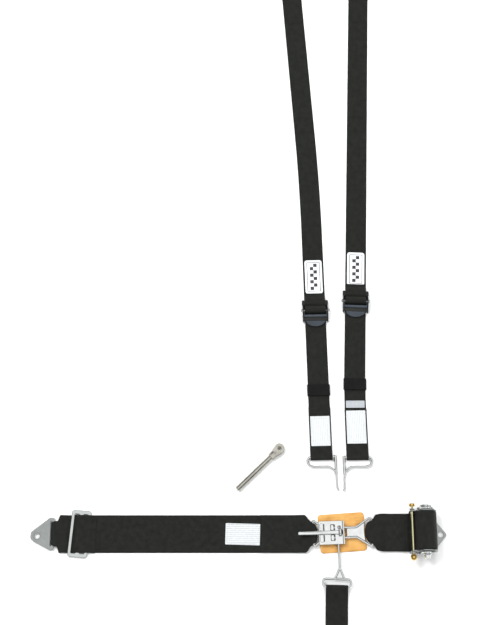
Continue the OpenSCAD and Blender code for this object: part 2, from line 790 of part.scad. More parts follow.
left_lap_webbing();
left_lap_label();
left_lap_anchor();
left_lap_slide();
latch_base();
latch_cover();
latch_bail();
latch_lever();
latch_pin();
latch_spring();
latch_eyelet();
latch_pad();
right_link();
right_lap_webbing();
ratchet_frame();
ratchet_spool();
webbing_roll();
ratchet_wheels();
drive_head();
release_rod();
release_knob();
release_cap();
ratchet_pawl();
rod_spring();
crotch_hook();
crotch_webbing();
crotch_anchor();
left_shoulder_webbing();
left_shoulder_hook();
left_shoulder_label();
left_keeper();
left_adjuster_frame();
left_adjuster_bar();
left_adjuster_pin();
left_adjuster_tab();
left_patch();
left_shoulder_slide();
left_shoulder_anchor();
right_shoulder_webbing();
right_shoulder_hook();
right_shoulder_label();
right_size_label();
right_keeper();
right_adjuster_frame();
right_adjuster_bar();
right_adjuster_pin();
right_adjuster_tab();
right_patch();
right_shoulder_slide();
right_shoulder_anchor();
handle_shank();
handle_head();
handle_rivets();
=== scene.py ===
"""Racing harness laid flat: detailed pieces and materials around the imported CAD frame."""
import json
import math

import bpy
from mathutils import Matrix, Vector


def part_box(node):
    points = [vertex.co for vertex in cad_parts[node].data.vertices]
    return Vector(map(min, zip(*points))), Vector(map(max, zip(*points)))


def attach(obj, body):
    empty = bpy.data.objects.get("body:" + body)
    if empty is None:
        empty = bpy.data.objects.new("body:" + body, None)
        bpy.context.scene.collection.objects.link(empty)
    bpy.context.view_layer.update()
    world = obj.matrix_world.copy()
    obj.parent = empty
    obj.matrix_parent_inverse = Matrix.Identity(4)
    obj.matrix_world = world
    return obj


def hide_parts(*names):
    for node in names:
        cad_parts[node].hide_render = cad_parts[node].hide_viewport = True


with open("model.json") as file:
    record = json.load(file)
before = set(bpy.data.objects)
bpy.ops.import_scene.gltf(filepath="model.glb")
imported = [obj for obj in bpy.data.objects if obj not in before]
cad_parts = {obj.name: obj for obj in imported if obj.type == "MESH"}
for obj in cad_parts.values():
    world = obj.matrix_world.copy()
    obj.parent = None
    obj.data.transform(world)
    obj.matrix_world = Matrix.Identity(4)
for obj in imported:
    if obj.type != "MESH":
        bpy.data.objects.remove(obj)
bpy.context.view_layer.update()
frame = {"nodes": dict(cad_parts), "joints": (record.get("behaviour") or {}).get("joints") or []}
MM = 0.001
joints = {j["name"]: j for j in frame["joints"]}

# Sizes in millimetres, as in the CAD source
LAP_W = 76.2
STRAP_W = 44.45
WEB_T = 1.5
FLOOR_Z = 1.0
LAYER = 1.65
PIN_X = 17.0
WIRE_Z = 8.4
FOLD_R = 3.45
ANCHOR_FOLD_R = 3.9
ANCHOR_Z = 5.0
LATCH_TURN = 2.0
CROTCH_TURN = -1.5
BAIL_X = 37
BAIL_SLACK = 5.2
LINK_SLACK = 11.0
WIRE_R = 2.5
HOOK_Z = 4.6
BOLT_R = 5.75
ROD_X = -27.5
ROD_TOP = 52
KNOB_Y = -52.5
SIDE_Y = 40.15
WHEEL_Y = 44.55
SIDES = {"left": 0, "right": 1}
STRAP_BEND = (2.7, -2.95)
BEND_FROM = (490, 95)
BEND_TO = (730, 190)
TAIL_END = (107, 104)
KEEPER_AT = (143, 156)
ADJUSTER_AT = (316, 337)
LABEL_FROM = (24, 29)
LABEL_LEN = (63, 70)
PATCH_AT = (395, 413)
SIZE_LABEL_AT = 113
SLIDE_BEFORE_END = 62


# ---- Places ----

def at(joint):
    """Point of a hinge, in millimetres."""
    return Vector(joints[joint]["pos_m"]) * 1000


def middle_of(node):
    """Middle of a node's box, in millimetres."""
    low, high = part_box(node)
    return (low + high) / 2 * 1000


def placed(x, y, turn=0.0, z=0.0):
    """Matrix from a local frame in millimetres to the row frame in metres."""
    scale = Matrix.Scale(MM, 4)
    return scale @ Matrix.Translation((x, y, z)) @ Matrix.Rotation(math.radians(turn), 4, "Z")


lever_pin = at("lever_lift")
latch_turn = Matrix.Rotation(math.radians(LATCH_TURN), 3, "Z")
latch_middle = lever_pin - latch_turn @ Vector((PIN_X, 0, lever_pin.z))
LATCH = placed(latch_middle.x, latch_middle.y, LATCH_TURN)
lap_anchor = at("left_lap_anchor_swing")
link_bar = at("right_belt_swing")
spool = at("spool_turn")
crotch_bar = at("crotch_strap_swing")
crotch_end = at("crotch_anchor_swing")
CROTCH = placed(crotch_bar.x, crotch_bar.y, CROTCH_TURN)
LAP = placed(0, lap_anchor.y)
RIGHT = placed(0, spool.y)
SPOOL = placed(spool.x, spool.y, 0, spool.z)


def strap_turn(side, s):
    """Turn in degrees at distance s along a shoulder strap."""
    low, high = BEND_FROM[side], BEND_TO[side]
    return STRAP_BEND[side] * (min(max(s, low), high) - low) / (high - low)


def strap_point(side, s):
    """Plan position and turn at distance s along a shoulder strap, whose path has one arc."""
    low, high = BEND_FROM[side], BEND_TO[side]
    turn = math.radians(strap_turn(side, s))
    radius = (high - low) / math.radians(STRAP_BEND[side])
    past = max(s - high, 0)
    x = -radius * (1 - math.cos(turn)) - past * math.sin(turn)
    y = min(s, low) + radius * math.sin(turn) + past * math.cos(turn)
    return x, y, turn


def strap_base(name):
    """Frame of a shoulder strap at its hook's bar, from the hook's hinge."""
    bar = at(name + "_hook_swing")
    axis = joints[name + "_hook_swing"]["axis"]
    return placed(bar.x, bar.y, math.degrees(math.atan2(-axis[1], -axis[0])))


def on_strap(name, s):
    """Frame at distance s along a shoulder strap, with Y along the strap."""
    x, y, turn = strap_point(SIDES[name], s)
    return strap_base(name) @ Matrix.Translation((x, y, 0)) @ Matrix.Rotation(turn, 4, "Z")


def strap_length(name):
    """Distance along a shoulder strap from its hook's bar to its anchor's bar."""
    goal = strap_base(name).inverted() @ (at(name + "_anchor_swing") * MM)
    side = SIDES[name]
    _, y, turn = strap_point(side, BEND_TO[side])
    return BEND_TO[side] + (goal.y - y) / math.cos(turn)


# ---- Materials ----

def material(name):
    """New node material, its node tree and its shader."""
    made = bpy.data.materials.new(name)
    made.use_nodes = True
    nodes = made.node_tree.nodes
    return made, made.node_tree, nodes["Principled BSDF"]


def link(tree, source, target):
    """Connects two sockets."""
    tree.links.new(source, target)


def coordinates(tree):
    """Each piece's own flat layout in metres, stored on its mesh."""
    node = tree.nodes.new("ShaderNodeAttribute")
    node.attribute_name = "lay"
    return node.outputs["Vector"]


def object_coordinates(tree):
    """Coordinates of the piece itself."""
    return tree.nodes.new("ShaderNodeTexCoord").outputs["Object"]


def noise(tree, vector, scale, detail=4.0, roughness=0.55):
    """Soft noise from 0 to 1."""
    node = tree.nodes.new("ShaderNodeTexNoise")
    node.inputs["Scale"].default_value = scale
    node.inputs["Detail"].default_value = detail
    node.inputs["Roughness"].default_value = roughness
    link(tree, vector, node.inputs["Vector"])
    return node.outputs["Fac"]


def bands(tree, vector, period, direction="X", distortion=0.0):
    """Sine bands of the given period in metres, across X, Y or the diagonal."""
    node = tree.nodes.new("ShaderNodeTexWave")
    node.wave_type = "BANDS"
    node.bands_direction = direction
    node.inputs["Scale"].default_value = 2 * math.pi / (20 * period)
    node.inputs["Distortion"].default_value = distortion
    link(tree, vector, node.inputs["Vector"])
    return node.outputs["Fac"]


def maths(tree, operation, a, b=None, c=None):
    """Result of one math node. A value is a number or a socket."""
    node = tree.nodes.new("ShaderNodeMath")
    node.operation = operation
    for socket, value in zip(node.inputs, (a, b, c)):
        if value is None:
            continue
        if isinstance(value, (int, float)):
            socket.default_value = value
        else:
            link(tree, value, socket)
    return node.outputs[0]


def ramp(tree, fac, stops):
    """Colour at a factor, from (place, colour) stops."""
    node = tree.nodes.new("ShaderNodeValToRGB")
    while len(node.color_ramp.elements) < len(stops):
        node.color_ramp.elements.new(0.5)
    for element, (place, colour) in zip(node.color_ramp.elements, stops):
        element.position = place
        element.color = (*colour, 1)
    link(tree, fac, node.inputs["Fac"])
    return node.outputs["Color"]


def span(tree, fac, low, high):
    """Maps 0 to 1 onto low to high."""
    node = tree.nodes.new("ShaderNodeMapRange")
    node.inputs["To Min"].default_value = low
    node.inputs["To Max"].default_value = high
    link(tree, fac, node.inputs["Value"])
    return node.outputs["Result"]


def bump(tree, shader, height, distance, strength=1.0, bevel=0.0):
    """Raises the surface by a height and, if asked, softens its edges by a bevel radius."""
    node = tree.nodes.new("ShaderNodeBump")
    node.inputs["Distance"].default_value = distance
    node.inputs["Strength"].default_value = strength
    link(tree, height, node.inputs["Height"])
    if bevel:
        edge = tree.nodes.new("ShaderNodeBevel")
        edge.samples = 4
        edge.inputs["Radius"].default_value = bevel
        link(tree, edge.outputs["Normal"], node.inputs["Normal"])
    link(tree, node.outputs["Normal"], shader.inputs["Normal"])


def webbing_material(name, dark, light, rib=0.0013, roughness=0.62):
    """Herringbone webbing: lengthwise ribs, a slanted twill on them, and small colour changes."""
    made, tree, shader = material(name)
    lay = coordinates(tree)
    ribs = bands(tree, lay, rib, "X")
    twill = bands(tree, lay, rib * 1.3, "DIAGONAL")
    weft = bands(tree, lay, rib * 0.8, "Y", 0.4)
    height = maths(tree, "MULTIPLY_ADD", twill, 0.5, ribs)
    height = maths(tree, "MULTIPLY_ADD", weft, 0.35, height)
    patchy = noise(tree, lay, 90, 5)
    shade = maths(tree, "MULTIPLY_ADD", patchy, 0.9, maths(tree, "MULTIPLY", height, 0.28))
    link(tree, ramp(tree, shade, [(0.3, dark), (0.95, light)]), shader.inputs["Base Color"])
    link(tree, span(tree, patchy, roughness - 0.08, roughness + 0.12), shader.inputs["Roughness"])
    shader.inputs["Specular IOR Level"].default_value = 0.22
    shader.inputs["Sheen Weight"].default_value = 0.03
    shader.inputs["Sheen Roughness"].default_value = 0.4
    bump(tree, shader, height, 0.00028, 1.0)
    return made


def cloth_label(name, ground, line, period, share, strength, direction="Y"):
    """Fine satin cloth with faint broken lines woven into it."""
    made, tree, shader = material(name)
    lay = coordinates(tree)
    weave = bands(tree, lay, 0.0005, "DIAGONAL")
    rows = maths(tree, "LESS_THAN", bands(tree, lay, period, direction), share)
    broken = maths(tree, "GREATER_THAN", noise(tree, lay, 700, 2), 0.42)
    mark = maths(tree, "MULTIPLY", rows, broken)
    faint = maths(tree, "MULTIPLY", mark, strength)
    faint = maths(tree, "MULTIPLY_ADD", noise(tree, lay, 160, 3), 0.25, faint)
    link(tree, ramp(tree, faint, [(0.1, ground), (0.75, line)]), shader.inputs["Base Color"])
    shader.inputs["Roughness"].default_value = 0.5
    shader.inputs["Sheen Weight"].default_value = 0.2
    bump(tree, shader, weave, 0.00008, 0.7)
    return made


def patch_material():
    """Smooth white patch with a thin outline and a plain two-row chequered band along its middle."""
    cell, band_half, frame_x, frame_y, line_half = 0.0075, 0.03, 0.0135, 0.0325, 0.0006
    corner = 0.0003
    made, tree, shader = material("patch_face")
    lay = coordinates(tree)
    split = tree.nodes.new("ShaderNodeSeparateXYZ")
    link(tree, lay, split.inputs["Vector"])
    across = maths(tree, "ABSOLUTE", split.outputs["X"])
    along = maths(tree, "ABSOLUTE", split.outputs["Y"])
    checker = tree.nodes.new("ShaderNodeTexChecker")
    checker.inputs["Scale"].default_value = 1 / cell
    flat = tree.nodes.new("ShaderNodeVectorMath")
    flat.operation = "MULTIPLY_ADD"
    flat.inputs[1].default_value = (1, 1, 0)
    flat.inputs[2].default_value = (0, 0, 0.003)
    link(tree, lay, flat.inputs[0])
    link(tree, flat.outputs["Vector"], checker.inputs["Vector"])
    band = maths(tree, "MULTIPLY", maths(tree, "LESS_THAN", across, cell),
                 maths(tree, "LESS_THAN", along, band_half))
    squares = maths(tree, "MULTIPLY", band, checker.outputs["Fac"])
    edge_x = maths(tree, "COMPARE", across, frame_x, line_half)
    edge_y = maths(tree, "COMPARE", along, frame_y, line_half)
    edge_x = maths(tree, "MULTIPLY", edge_x, maths(tree, "LESS_THAN", along, frame_y + corner))
    edge_y = maths(tree, "MULTIPLY", edge_y, maths(tree, "LESS_THAN", across, frame_x + corner))
    mark = maths(tree, "MAXIMUM", squares, maths(tree, "MAXIMUM", edge_x, edge_y))
    worn = noise(tree, lay, 300, 3)
    mark = maths(tree, "MULTIPLY", mark, maths(tree, "MULTIPLY_ADD", worn, 0.1, 0.93))
    link(tree, ramp(tree, mark, [(0.0, (0.80, 0.81, 0.85)), (1.0, (0.015, 0.016, 0.015))]),
         shader.inputs["Base Color"])
    link(tree, span(tree, worn, 0.28, 0.45), shader.inputs["Roughness"])
    bump(tree, shader, worn, 0.00005, 0.5)
    return made


EDGE_BEVEL = 0.0004


def metal(name, colour, roughness, tint=0.12):
    """Plated or polished metal with small changes of tint and roughness, fine scratches and soft edges."""
    made, tree, shader = material(name)
    where = object_coordinates(tree)
    cloudy = noise(tree, where, 70, 5)
    fine = noise(tree, where, 1400, 3)
    darker = tuple(c * (1 - tint) for c in colour)
    link(tree, ramp(tree, cloudy, [(0.3, darker), (0.7, colour)]), shader.inputs["Base Color"])
    shader.inputs["Metallic"].default_value = 1.0
    link(tree, span(tree, cloudy, roughness * 0.75, roughness * 1.35), shader.inputs["Roughness"])
    bump(tree, shader, fine, 0.00003, 0.5, EDGE_BEVEL)
    return made


def coated(name, dark, light, roughness):
    """Dark powder coat with a fine orange-peel surface, rubbed a little paler on its edges."""
    made, tree, shader = material(name)
    where = object_coordinates(tree)
    peel = noise(tree, where, 900, 2)
    cloudy = noise(tree, where, 60, 4)
    edges = tree.nodes.new("ShaderNodeNewGeometry").outputs["Pointiness"]
    worn = maths(tree, "MULTIPLY_ADD", cloudy, 0.35, maths(tree, "MULTIPLY", edges, 0.9))
    link(tree, ramp(tree, worn, [(0.5, dark), (0.8, light)]), shader.inputs["Base Color"])
    link(tree, span(tree, cloudy, roughness * 0.8, roughness * 1.3), shader.inputs["Roughness"])
    shader.inputs["Specular IOR Level"].default_value = 0.3
    bump(tree, shader, peel, 0.00006, 0.6, EDGE_BEVEL)
    return made


def leather_material():
    """Tan leather with a pebbled grain and long pale streaks."""
    made, tree, shader = material("tan_leather")
    lay = coordinates(tree)
    grain = tree.nodes.new("ShaderNodeTexVoronoi")
    grain.inputs["Scale"].default_value = 900
    link(tree, lay, grain.inputs["Vector"])
    stretch = tree.nodes.new("ShaderNodeMapping")
    stretch.inputs["Scale"].default_value = (0.25, 1.6, 1)
    link(tree, lay, stretch.inputs["Vector"])
    streaks = noise(tree, stretch.outputs["Vector"], 110, 6, 0.65)
    mottled = maths(tree, "MULTIPLY_ADD", noise(tree, lay, 45, 4), 0.45,
                    maths(tree, "MULTIPLY", streaks, 0.6))
    colours = [(0.3, (0.36, 0.165, 0.04)), (0.5, (0.62, 0.32, 0.082)), (0.7, (0.75, 0.43, 0.14))]
    link(tree, ramp(tree, mottled, colours), shader.inputs["Base Color"])
    link(tree, span(tree, streaks, 0.42, 0.62), shader.inputs["Roughness"])
    height = maths(tree, "MULTIPLY_ADD", streaks, 0.4, grain.outputs["Distance"])
    bump(tree, shader, height, 0.00025, 0.55)
    return made


PALE = (0.68, 0.70, 0.71)
WEBBING = webbing_material("black_webbing", (0.006, 0.0063, 0.0058), (0.021, 0.022, 0.0195))
THREAD = webbing_material("black_thread", (0.012, 0.012, 0.012), (0.05, 0.05, 0.05), 0.0004, 0.45)
GREY_THREAD = webbing_material("grey_thread", (0.38, 0.40, 0.42), (0.6, 0.62, 0.64), 0.0004, 0.5)
ELASTIC = webbing_material("keeper_elastic", (0.003, 0.003, 0.003), (0.010, 0.010, 0.010), 0.0018)
LABEL = cloth_label("label_cloth", PALE, (0.40, 0.42, 0.45), 0.0040, 0.22, 0.7)
STRAP_LABEL = cloth_label("strap_label_cloth", PALE, (0.48, 0.50, 0.53), 0.0036, 0.2, 0.55, "X")
SILVER_LABEL = cloth_label("silver_label_cloth", (0.46, 0.49, 0.52), (0.27, 0.29, 0.32),
                           0.002, 0.3, 0.5)
PATCH = patch_material()
LEATHER = leather_material()
BRIGHT = metal("bright_steel", (0.80, 0.82, 0.81), 0.17)
ZINC = metal("zinc_plate", (0.42, 0.44, 0.435), 0.36, 0.22)
DULL = metal("pin_steel", (0.42, 0.43, 0.44), 0.32, 0.2)
DULL_CHROME = metal("satin_chrome", (0.56, 0.54, 0.48), 0.24, 0.3)
SLIDE_STEEL = metal("slide_steel", (0.60, 0.63, 0.62), 0.2, 0.15)
BRASS = metal("brass_plate", (0.80, 0.76, 0.44), 0.2, 0.2)
KNOB = metal("brass_knob", (0.85, 0.55, 0.16), 0.14, 0.15)
BLACK = coated("black_coat", (0.006, 0.0065, 0.006), (0.025, 0.025, 0.024), 0.42)
SLATE = coated("slate_coat", (0.026, 0.032, 0.040), (0.055, 0.065, 0.080), 0.38)
# Lighter copy of the slate coat, for the tilt bar only: painted light, the bar shown brighter than the shaded
# slate tab.
LIT_SLATE_BAR = coated("lit_slate_bar_coat", (0.028, 0.035, 0.044), (0.060, 0.071, 0.087), 0.34)


# ---- Mesh helpers ----

def set_layout(mesh, points):
    """Stores each vertex's place in the piece's own layout, in metres."""
    layout = mesh.attributes.new("lay", "FLOAT_VECTOR", "POINT")
    layout.data.foreach_set("vector", [c for p in points for c in p])


def finished(name, mesh, matrix, look, body, replaced=(), smooth=38):
    """Moves a local mesh in millimetres into place, keeps its local layout for the weave, and rides it."""
    if mesh.attributes.get("lay") is None:
        set_layout(mesh, [v.co * MM for v in mesh.vertices])
    mesh.transform(matrix)
    mesh.shade_smooth()
    mesh.set_sharp_from_angle(angle=math.radians(smooth))
    mesh.materials.clear()
    mesh.materials.append(look)
    made = bpy.data.objects.new(name, mesh)
    bpy.context.scene.collection.objects.link(made)
    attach(made, body)
    if replaced:
        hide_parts(*replaced)
    return made


def mesh_of(name, points, faces):
    """Mesh from points and faces."""
    mesh = bpy.data.meshes.new(name)
    mesh.from_pydata([tuple(p) for p in points], [], faces)
    mesh.validate()
    mesh.update()
    return mesh


def joined(name, meshes):
    """One mesh from several local meshes."""
    points, faces = [], []
    for mesh in meshes:
        start = len(points)
        points += [v.co.copy() for v in mesh.vertices]
        faces += [[start + i for i in p.vertices] for p in mesh.polygons]
    return mesh_of(name, points, faces)


def curve_mesh(name, splines, cyclic, settings):
    """Mesh of a curve whose splines are lists of points."""
    curve = bpy.data.curves.new(name, "CURVE")
    for key, value in settings.items():
        setattr(curve, key, value)
    for points in splines:
        spline = curve.splines.new("POLY")
        spline.points.add(len(points) - 1)
        for place, point in zip(spline.points, points):
            place.co = (*point, 1) if len(point) == 3 else (*point, 0, 1)
        spline.use_cyclic_u = cyclic
    holder = bpy.data.objects.new(name, curve)
    bpy.context.scene.collection.objects.link(holder)
    graph = bpy.context.evaluated_depsgraph_get()
    mesh = bpy.data.meshes.new_from_object(holder.evaluated_get(graph))
    bpy.data.objects.remove(holder)
    return mesh


def rounded(corners, radius, steps=6, closed=True):
    """Replaces each corner of a polyline by an arc. A radius may be given for each corner."""
    count = len(corners)
    radii = radius if isinstance(radius, (list, tuple)) else [radius] * count
    out = []
    for i, corner in enumerate(corners):
        here = Vector(corner)
        if not closed and i in (0, count - 1):
            out.append(here)
            continue
        to_last = Vector(corners[i - 1]) - here
        to_next = Vector(corners[(i + 1) % count]) - here
        turn = to_last.angle(to_next)
        reach = radii[i] / math.tan(turn / 2)
        reach = min(reach, to_last.length * 0.49, to_next.length * 0.49)
        a = here + to_last.normalized() * reach
        b = here + to_next.normalized() * reach
        for k in range(steps + 1):
            t = k / steps
            out.append(a * (1 - t) ** 2 + here * (2 * t * (1 - t)) + b * t ** 2)
    return out


def box_outline(width, height, radius, x=0.0, y=0.0):
    """Rounded rectangle about (x, y)."""
    w, h = width / 2, height / 2
    corners = [(x - w, y - h), (x + w, y - h), (x + w, y + h), (x - w, y + h)]
    return rounded(corners, radius)


def ring_outline(radius, x=0.0, y=0.0, steps=28):
    """Circle about (x, y)."""
    turns = [2 * math.pi * i / steps for i in range(steps)]
    return [Vector((x + radius * math.cos(t), y + radius * math.sin(t))) for t in turns]


def area_of(outline):
    """Signed area, positive for a counterclockwise outline."""
    pairs = zip(outline, outline[1:] + outline[:1])
    return sum(a[0] * b[1] - b[0] * a[1] for a, b in pairs) / 2


def plate(outer, holes, bottom, top, bevel=0.3):
    """Flat plate with bevelled edges. Outlines are in X and Y."""
    outer = outer if area_of(outer) > 0 else outer[::-1]
    holes = [h if area_of(h) < 0 else h[::-1] for h in holes]
    settings = {"dimensions": "2D", "fill_mode": "BOTH", "extrude": (top - bottom) / 2 - bevel,
                "bevel_depth": bevel, "bevel_resolution": 2, "offset": -bevel}
    mesh = curve_mesh("plate", [outer, *holes], True, settings)
    mesh.transform(Matrix.Translation((0, 0, (bottom + top) / 2)))
    return mesh


def upright(mesh, y=0.0):
    """Turns a plate drawn in X and Y so that it stands in X and Z, centred on y."""
    mesh.transform(Matrix.Translation((0, y, 0)) @ Matrix.Rotation(math.pi / 2, 4, "X"))
    return mesh


def crosswise(mesh, x=0.0):
    """Turns a plate drawn in X and Y so that X runs along Y and Y up along Z, centred on x."""
    turn = Matrix(((0, 0, 1, x), (1, 0, 0, 0), (0, 1, 0, 0), (0, 0, 0, 1)))
    mesh.transform(turn)
    return mesh


def wire(points, radius, bend=6.0, closed=False):
    """Round wire along a polyline with rounded bends."""
    settings = {"dimensions": "3D", "fill_mode": "FULL", "bevel_depth": radius,
                "bevel_resolution": 4, "use_fill_caps": True}
    route = rounded(points, bend, 7, closed)
    return curve_mesh("wire", [route], closed, settings)


def turned(profile, steps=32):
    """Solid of revolution about Y. The profile lists (radius, y) from one end to the other."""
    points, faces = [], []
    for i in range(steps):
        t = 2 * math.pi * i / steps
        points += [(r * math.cos(t), y, r * math.sin(t)) for r, y in profile]
    n = len(profile)
    for i in range(steps):
        j = (i + 1) % steps
        for k in range(n - 1):
            faces.append((i * n + k, j * n + k, j * n + k + 1, i * n + k + 1))
    faces.append([i * n for i in range(steps - 1, -1, -1)])
    faces.append([i * n + n - 1 for i in range(steps)])
    return mesh_of("turned", points, faces)


def moved(mesh, x=0.0, y=0.0, z=0.0):
    """The mesh after a move."""
    mesh.transform(Matrix.Translation((x, y, z)))
    return mesh


# ---- Webbing ----

# Half of the webbing's section: (across, height) from one edge to the other
EDGE = [(-1, 0), (-0.988, 0.72), (-0.95, 1), (-0.7, 1), (-0.35, 1), (0, 1), (0.35, 1), (0.7, 1),
        (0.95, 1), (0.988, 0.72), (1, 0)]


def smoothed(route, step=2.5, passes=5):
    """Route with even steps and soft corners."""
    points = []
    for a, b in zip(route, route[1:]):
        count = max(1, round((Vector(b) - Vector(a)).length / step))
        points += [Vector(a).lerp(Vector(b), i / count) for i in range(count)]
    points.append(Vector(route[-1]))
    for _ in range(passes):
        inner = [(a + 2 * b + c) / 4 for a, b, c in zip(points, points[1:], points[2:])]
        points = [points[0], *inner, points[-1]]
    return points


ARC_STEPS = 12


def arc(s, z, radius, start, end):
    """Points of an arc about (s, z), from one angle in degrees to another."""
    turns = [math.radians(start + (end - start) * i / ARC_STEPS) for i in range(ARC_STEPS + 1)]
    return [(s + radius * math.cos(t), z + radius * math.sin(t)) for t in turns]


def sweep(name, route, half, place, thickness=WEB_T, ripple=0.0):
    """Flat webbing along a route of (s, z), and its length.

    half(s, k) is its half width at share k of the route, and place(s, a, z) puts it in the row.
    """
    points, lay, faces = [], [], []
    ring = EDGE + [(a, -b) for a, b in EDGE[-2:0:-1]]
    length = 0.0
    count = len(route)
    for k, here in enumerate(route):
        before, after = route[max(k - 1, 0)], route[min(k + 1, count - 1)]
        along = (after - before).normalized()
        normal = Vector((-along.y, along.x))
        length += (here - before).length if k else 0
        width = half(here.x, k / (count - 1))
        wave = ripple * math.sin(here.x * 0.045) * math.sin(here.x * 0.017 + 1)
        for a, b in ring:
            point = here + normal * (b * thickness / 2)
            crown = 0.12 * (1 - a * a)
            points.append(place(point.x, a * width, point.y + abs(wave) + crown))
            lay.append((a * width * MM, length * MM, b * MM))
    n = len(ring)
    for k in range(count - 1):
        for i in range(n):
            j = (i + 1) % n
            faces.append((k * n + i, k * n + j, (k + 1) * n + j, (k + 1) * n + i))
    faces.append(list(range(n - 1, -1, -1)))
    faces.append([(count - 1) * n + i for i in range(n)])
    mesh = bpy.data.meshes.new(name)
    mesh.from_pydata([tuple(p) for p in points], [], faces)
    set_layout(mesh, lay)
    mesh.update()
    return mesh, length * MM


def webbing(name, route, half, place, body, replaced=(), ripple=0.0,
            thickness=WEB_T):
    """Finished piece of webbing."""
    mesh, length = sweep(name, route, half, place, thickness, ripple)
    made = finished(name, mesh, Matrix.Identity(4), WEBBING, body, replaced, 50)
    return made


def flat_place(matrix, shear=None, curve=None):
    """Puts (s, across, z) into the row for a strap along the local X, whose end may be skewed and rounded."""
    def place(s, a, z):
        x = s - (a * shear(s) if shear else 0) + (curve(s) * a * a if curve else 0)
        return matrix @ Vector((x, a, max(z, 0.05)))
    return place


def curved_place(name):
    """Puts (s, across, z) into the row for a shoulder strap."""
    base = strap_base(name)

    def place(s, a, z):
        x, y, turn = strap_point(SIDES[name], s)
        return base @ Vector((x + a * math.cos(turn), y + a * math.sin(turn), max(z, 0.05)))
    return place


def stitches(name, runs, place, height, body, look=None, length=2.6, pitch=3.6, radius=0.28):
    """Rows of raised thread. A run goes from one (s, across) to another."""
    points, faces = [], []
    shape = [(-0.5, 0, 0.1), (-0.22, -1, 0.4), (-0.22, 0, 1), (-0.22, 1, 0.4), (0.22, -1, 0.4),
             (0.22, 0, 1), (0.22, 1, 0.4), (0.5, 0, 0.1), (0, 0, -0.6)]
    sides = [(0, 1, 2), (0, 2, 3), (1, 4, 5, 2), (2, 5, 6, 3), (4, 7, 5), (5, 7, 6), (0, 8, 1), (0, 3, 8),
             (1, 8, 4), (3, 6, 8), (4, 8, 7), (6, 7, 8)]
    for start, end in runs:
        a, b = Vector(start), Vector(end)
        along = (b - a).normalized()
        side = Vector((-along.y, along.x))
        for i in range(int((b - a).length / pitch)):
            middle = a + along * (pitch * (i + 0.5))
            first = len(points)
            for u, v, w in shape:
                p = middle + along * (u * length) + side * (v * radius)
                level = height(p.x) if callable(height) else height
                points.append(place(p.x, p.y, level + w * radius))
            faces += [[first + i for i in f] for f in sides]
    mesh = mesh_of(name, points, faces)
    set_layout(mesh, [v.co for v in mesh.vertices])
    return finished(name, mesh, Matrix.Identity(4), look or THREAD, body, (), 60)


def box_runs(s0, s1, half, cross=True):
    """Stitch runs of a sewn box, with a cross inside it."""
    corners = [(s0, -half), (s1, -half), (s1, half), (s0, half)]
    runs = list(zip(corners, corners[1:] + corners[:1]))
    if cross:
        runs += [(corners[0], corners[2]), (corners[1], corners[3])]
    return runs


def profile(value, steps):
    """Straight lines between (value, result) steps."""
    for (x0, y0), (x1, y1) in zip(steps, steps[1:]):
        if value <= x1:
            return y0 + (y1 - y0) * max(value - x0, 0) / (x1 - x0)
    return steps[-1][1]


def between(value, low, high):
    """Smooth step from 0 at low to 1 at high."""
    t = min(max((value - low) / (high - low), 0), 1)
    return t * t * (3 - 2 * t)


# ---- Camera, light and floor ----

CAMERA_TILT = 18.1
CAMERA_LENS = 75
AIM = (0.0, -0.064)
CAMERA_RANGE = 2.7826


def studio():
    """Camera at the harness's viewing angle, three soft lights and a sky that brightens upwards."""
    tilt = math.radians(CAMERA_TILT)
    data = bpy.data.cameras.new("photo_camera")
    data.lens = CAMERA_LENS
    data.sensor_width = 36
    data.clip_end = 50
    camera = bpy.data.objects.new("photo_camera", data)
    camera.location = (AIM[0], AIM[1] - CAMERA_RANGE * math.sin(tilt), CAMERA_RANGE * math.cos(tilt))
    camera.rotation_euler = (tilt, 0, 0)
    bpy.context.scene.collection.objects.link(camera)
    bpy.context.scene.camera = camera
    for name, power, size, place, aim in (
            ("key_light", 62, 1.2, (-1.3, 0.5, 2.6), (0, -0.2, 0)),
            ("fill_light", 34, 1.6, (1.8, -1.7, 2.4), (0, -0.1, 0)),
            ("top_light", 48, 1.8, (0.5, 2.4, 2.6), (0, 0, 0))):
        light = bpy.data.lights.new(name, "AREA")
        light.energy = power
        light.size = size
        lamp = bpy.data.objects.new(name, light)
        lamp.location = place
        lamp.rotation_euler = (Vector(aim) - Vector(place)).to_track_quat("-Z", "Y").to_euler()
        lamp.visible_glossy = False
        bpy.context.scene.collection.objects.link(lamp)
    world = bpy.data.worlds.new("studio")
    bpy.context.scene.world = world
    world.use_nodes = True
    tree = world.node_tree
    background = tree.nodes["Background"]
    split = tree.nodes.new("ShaderNodeSeparateXYZ")
    link(tree, tree.nodes.new("ShaderNodeTexCoord").outputs["Generated"], split.inputs["Vector"])
    sky = ramp(tree, split.outputs["Z"], [(0.0, (0.03, 0.03, 0.032)), (0.42, (0.07, 0.075, 0.075)),
                                          (0.68, (0.40, 0.42, 0.41)), (0.93, (1.0, 1.0, 1.0))])
    link(tree, sky, background.inputs["Color"])
    background.inputs["Strength"].default_value = 1.15
    bpy.context.scene.view_settings.view_transform = "Standard"


def floor():
    """Pale plain floor under the harness."""
    made, tree, shader = material("pale_floor")
    tint = noise(tree, object_coordinates(tree), 3, 2)
    link(tree, ramp(tree, tint, [(0.2, (0.90, 0.90, 0.90)), (0.8, (0.93, 0.93, 0.93))]),
         shader.inputs["Base Color"])
    shader.inputs["Roughness"].default_value = 0.9
    size = 12.0
    mesh = mesh_of("floor", [(-size, -size, 0), (size, -size, 0), (size, size, 0), (-size, size, 0)],
                   [(0, 1, 2, 3)])
    mesh.materials.append(made)
    ground = bpy.data.objects.new("floor", mesh)
    ground.location.z = -0.0002
    bpy.context.scene.collection.objects.link(ground)


studio()
floor()


# ---- Left lap belt ----

ANCHOR_REACH = 32.0
ANCHOR_NOSE = 13.0
SLIDE_BAND = 8.0
SLIDE_T = 3.0


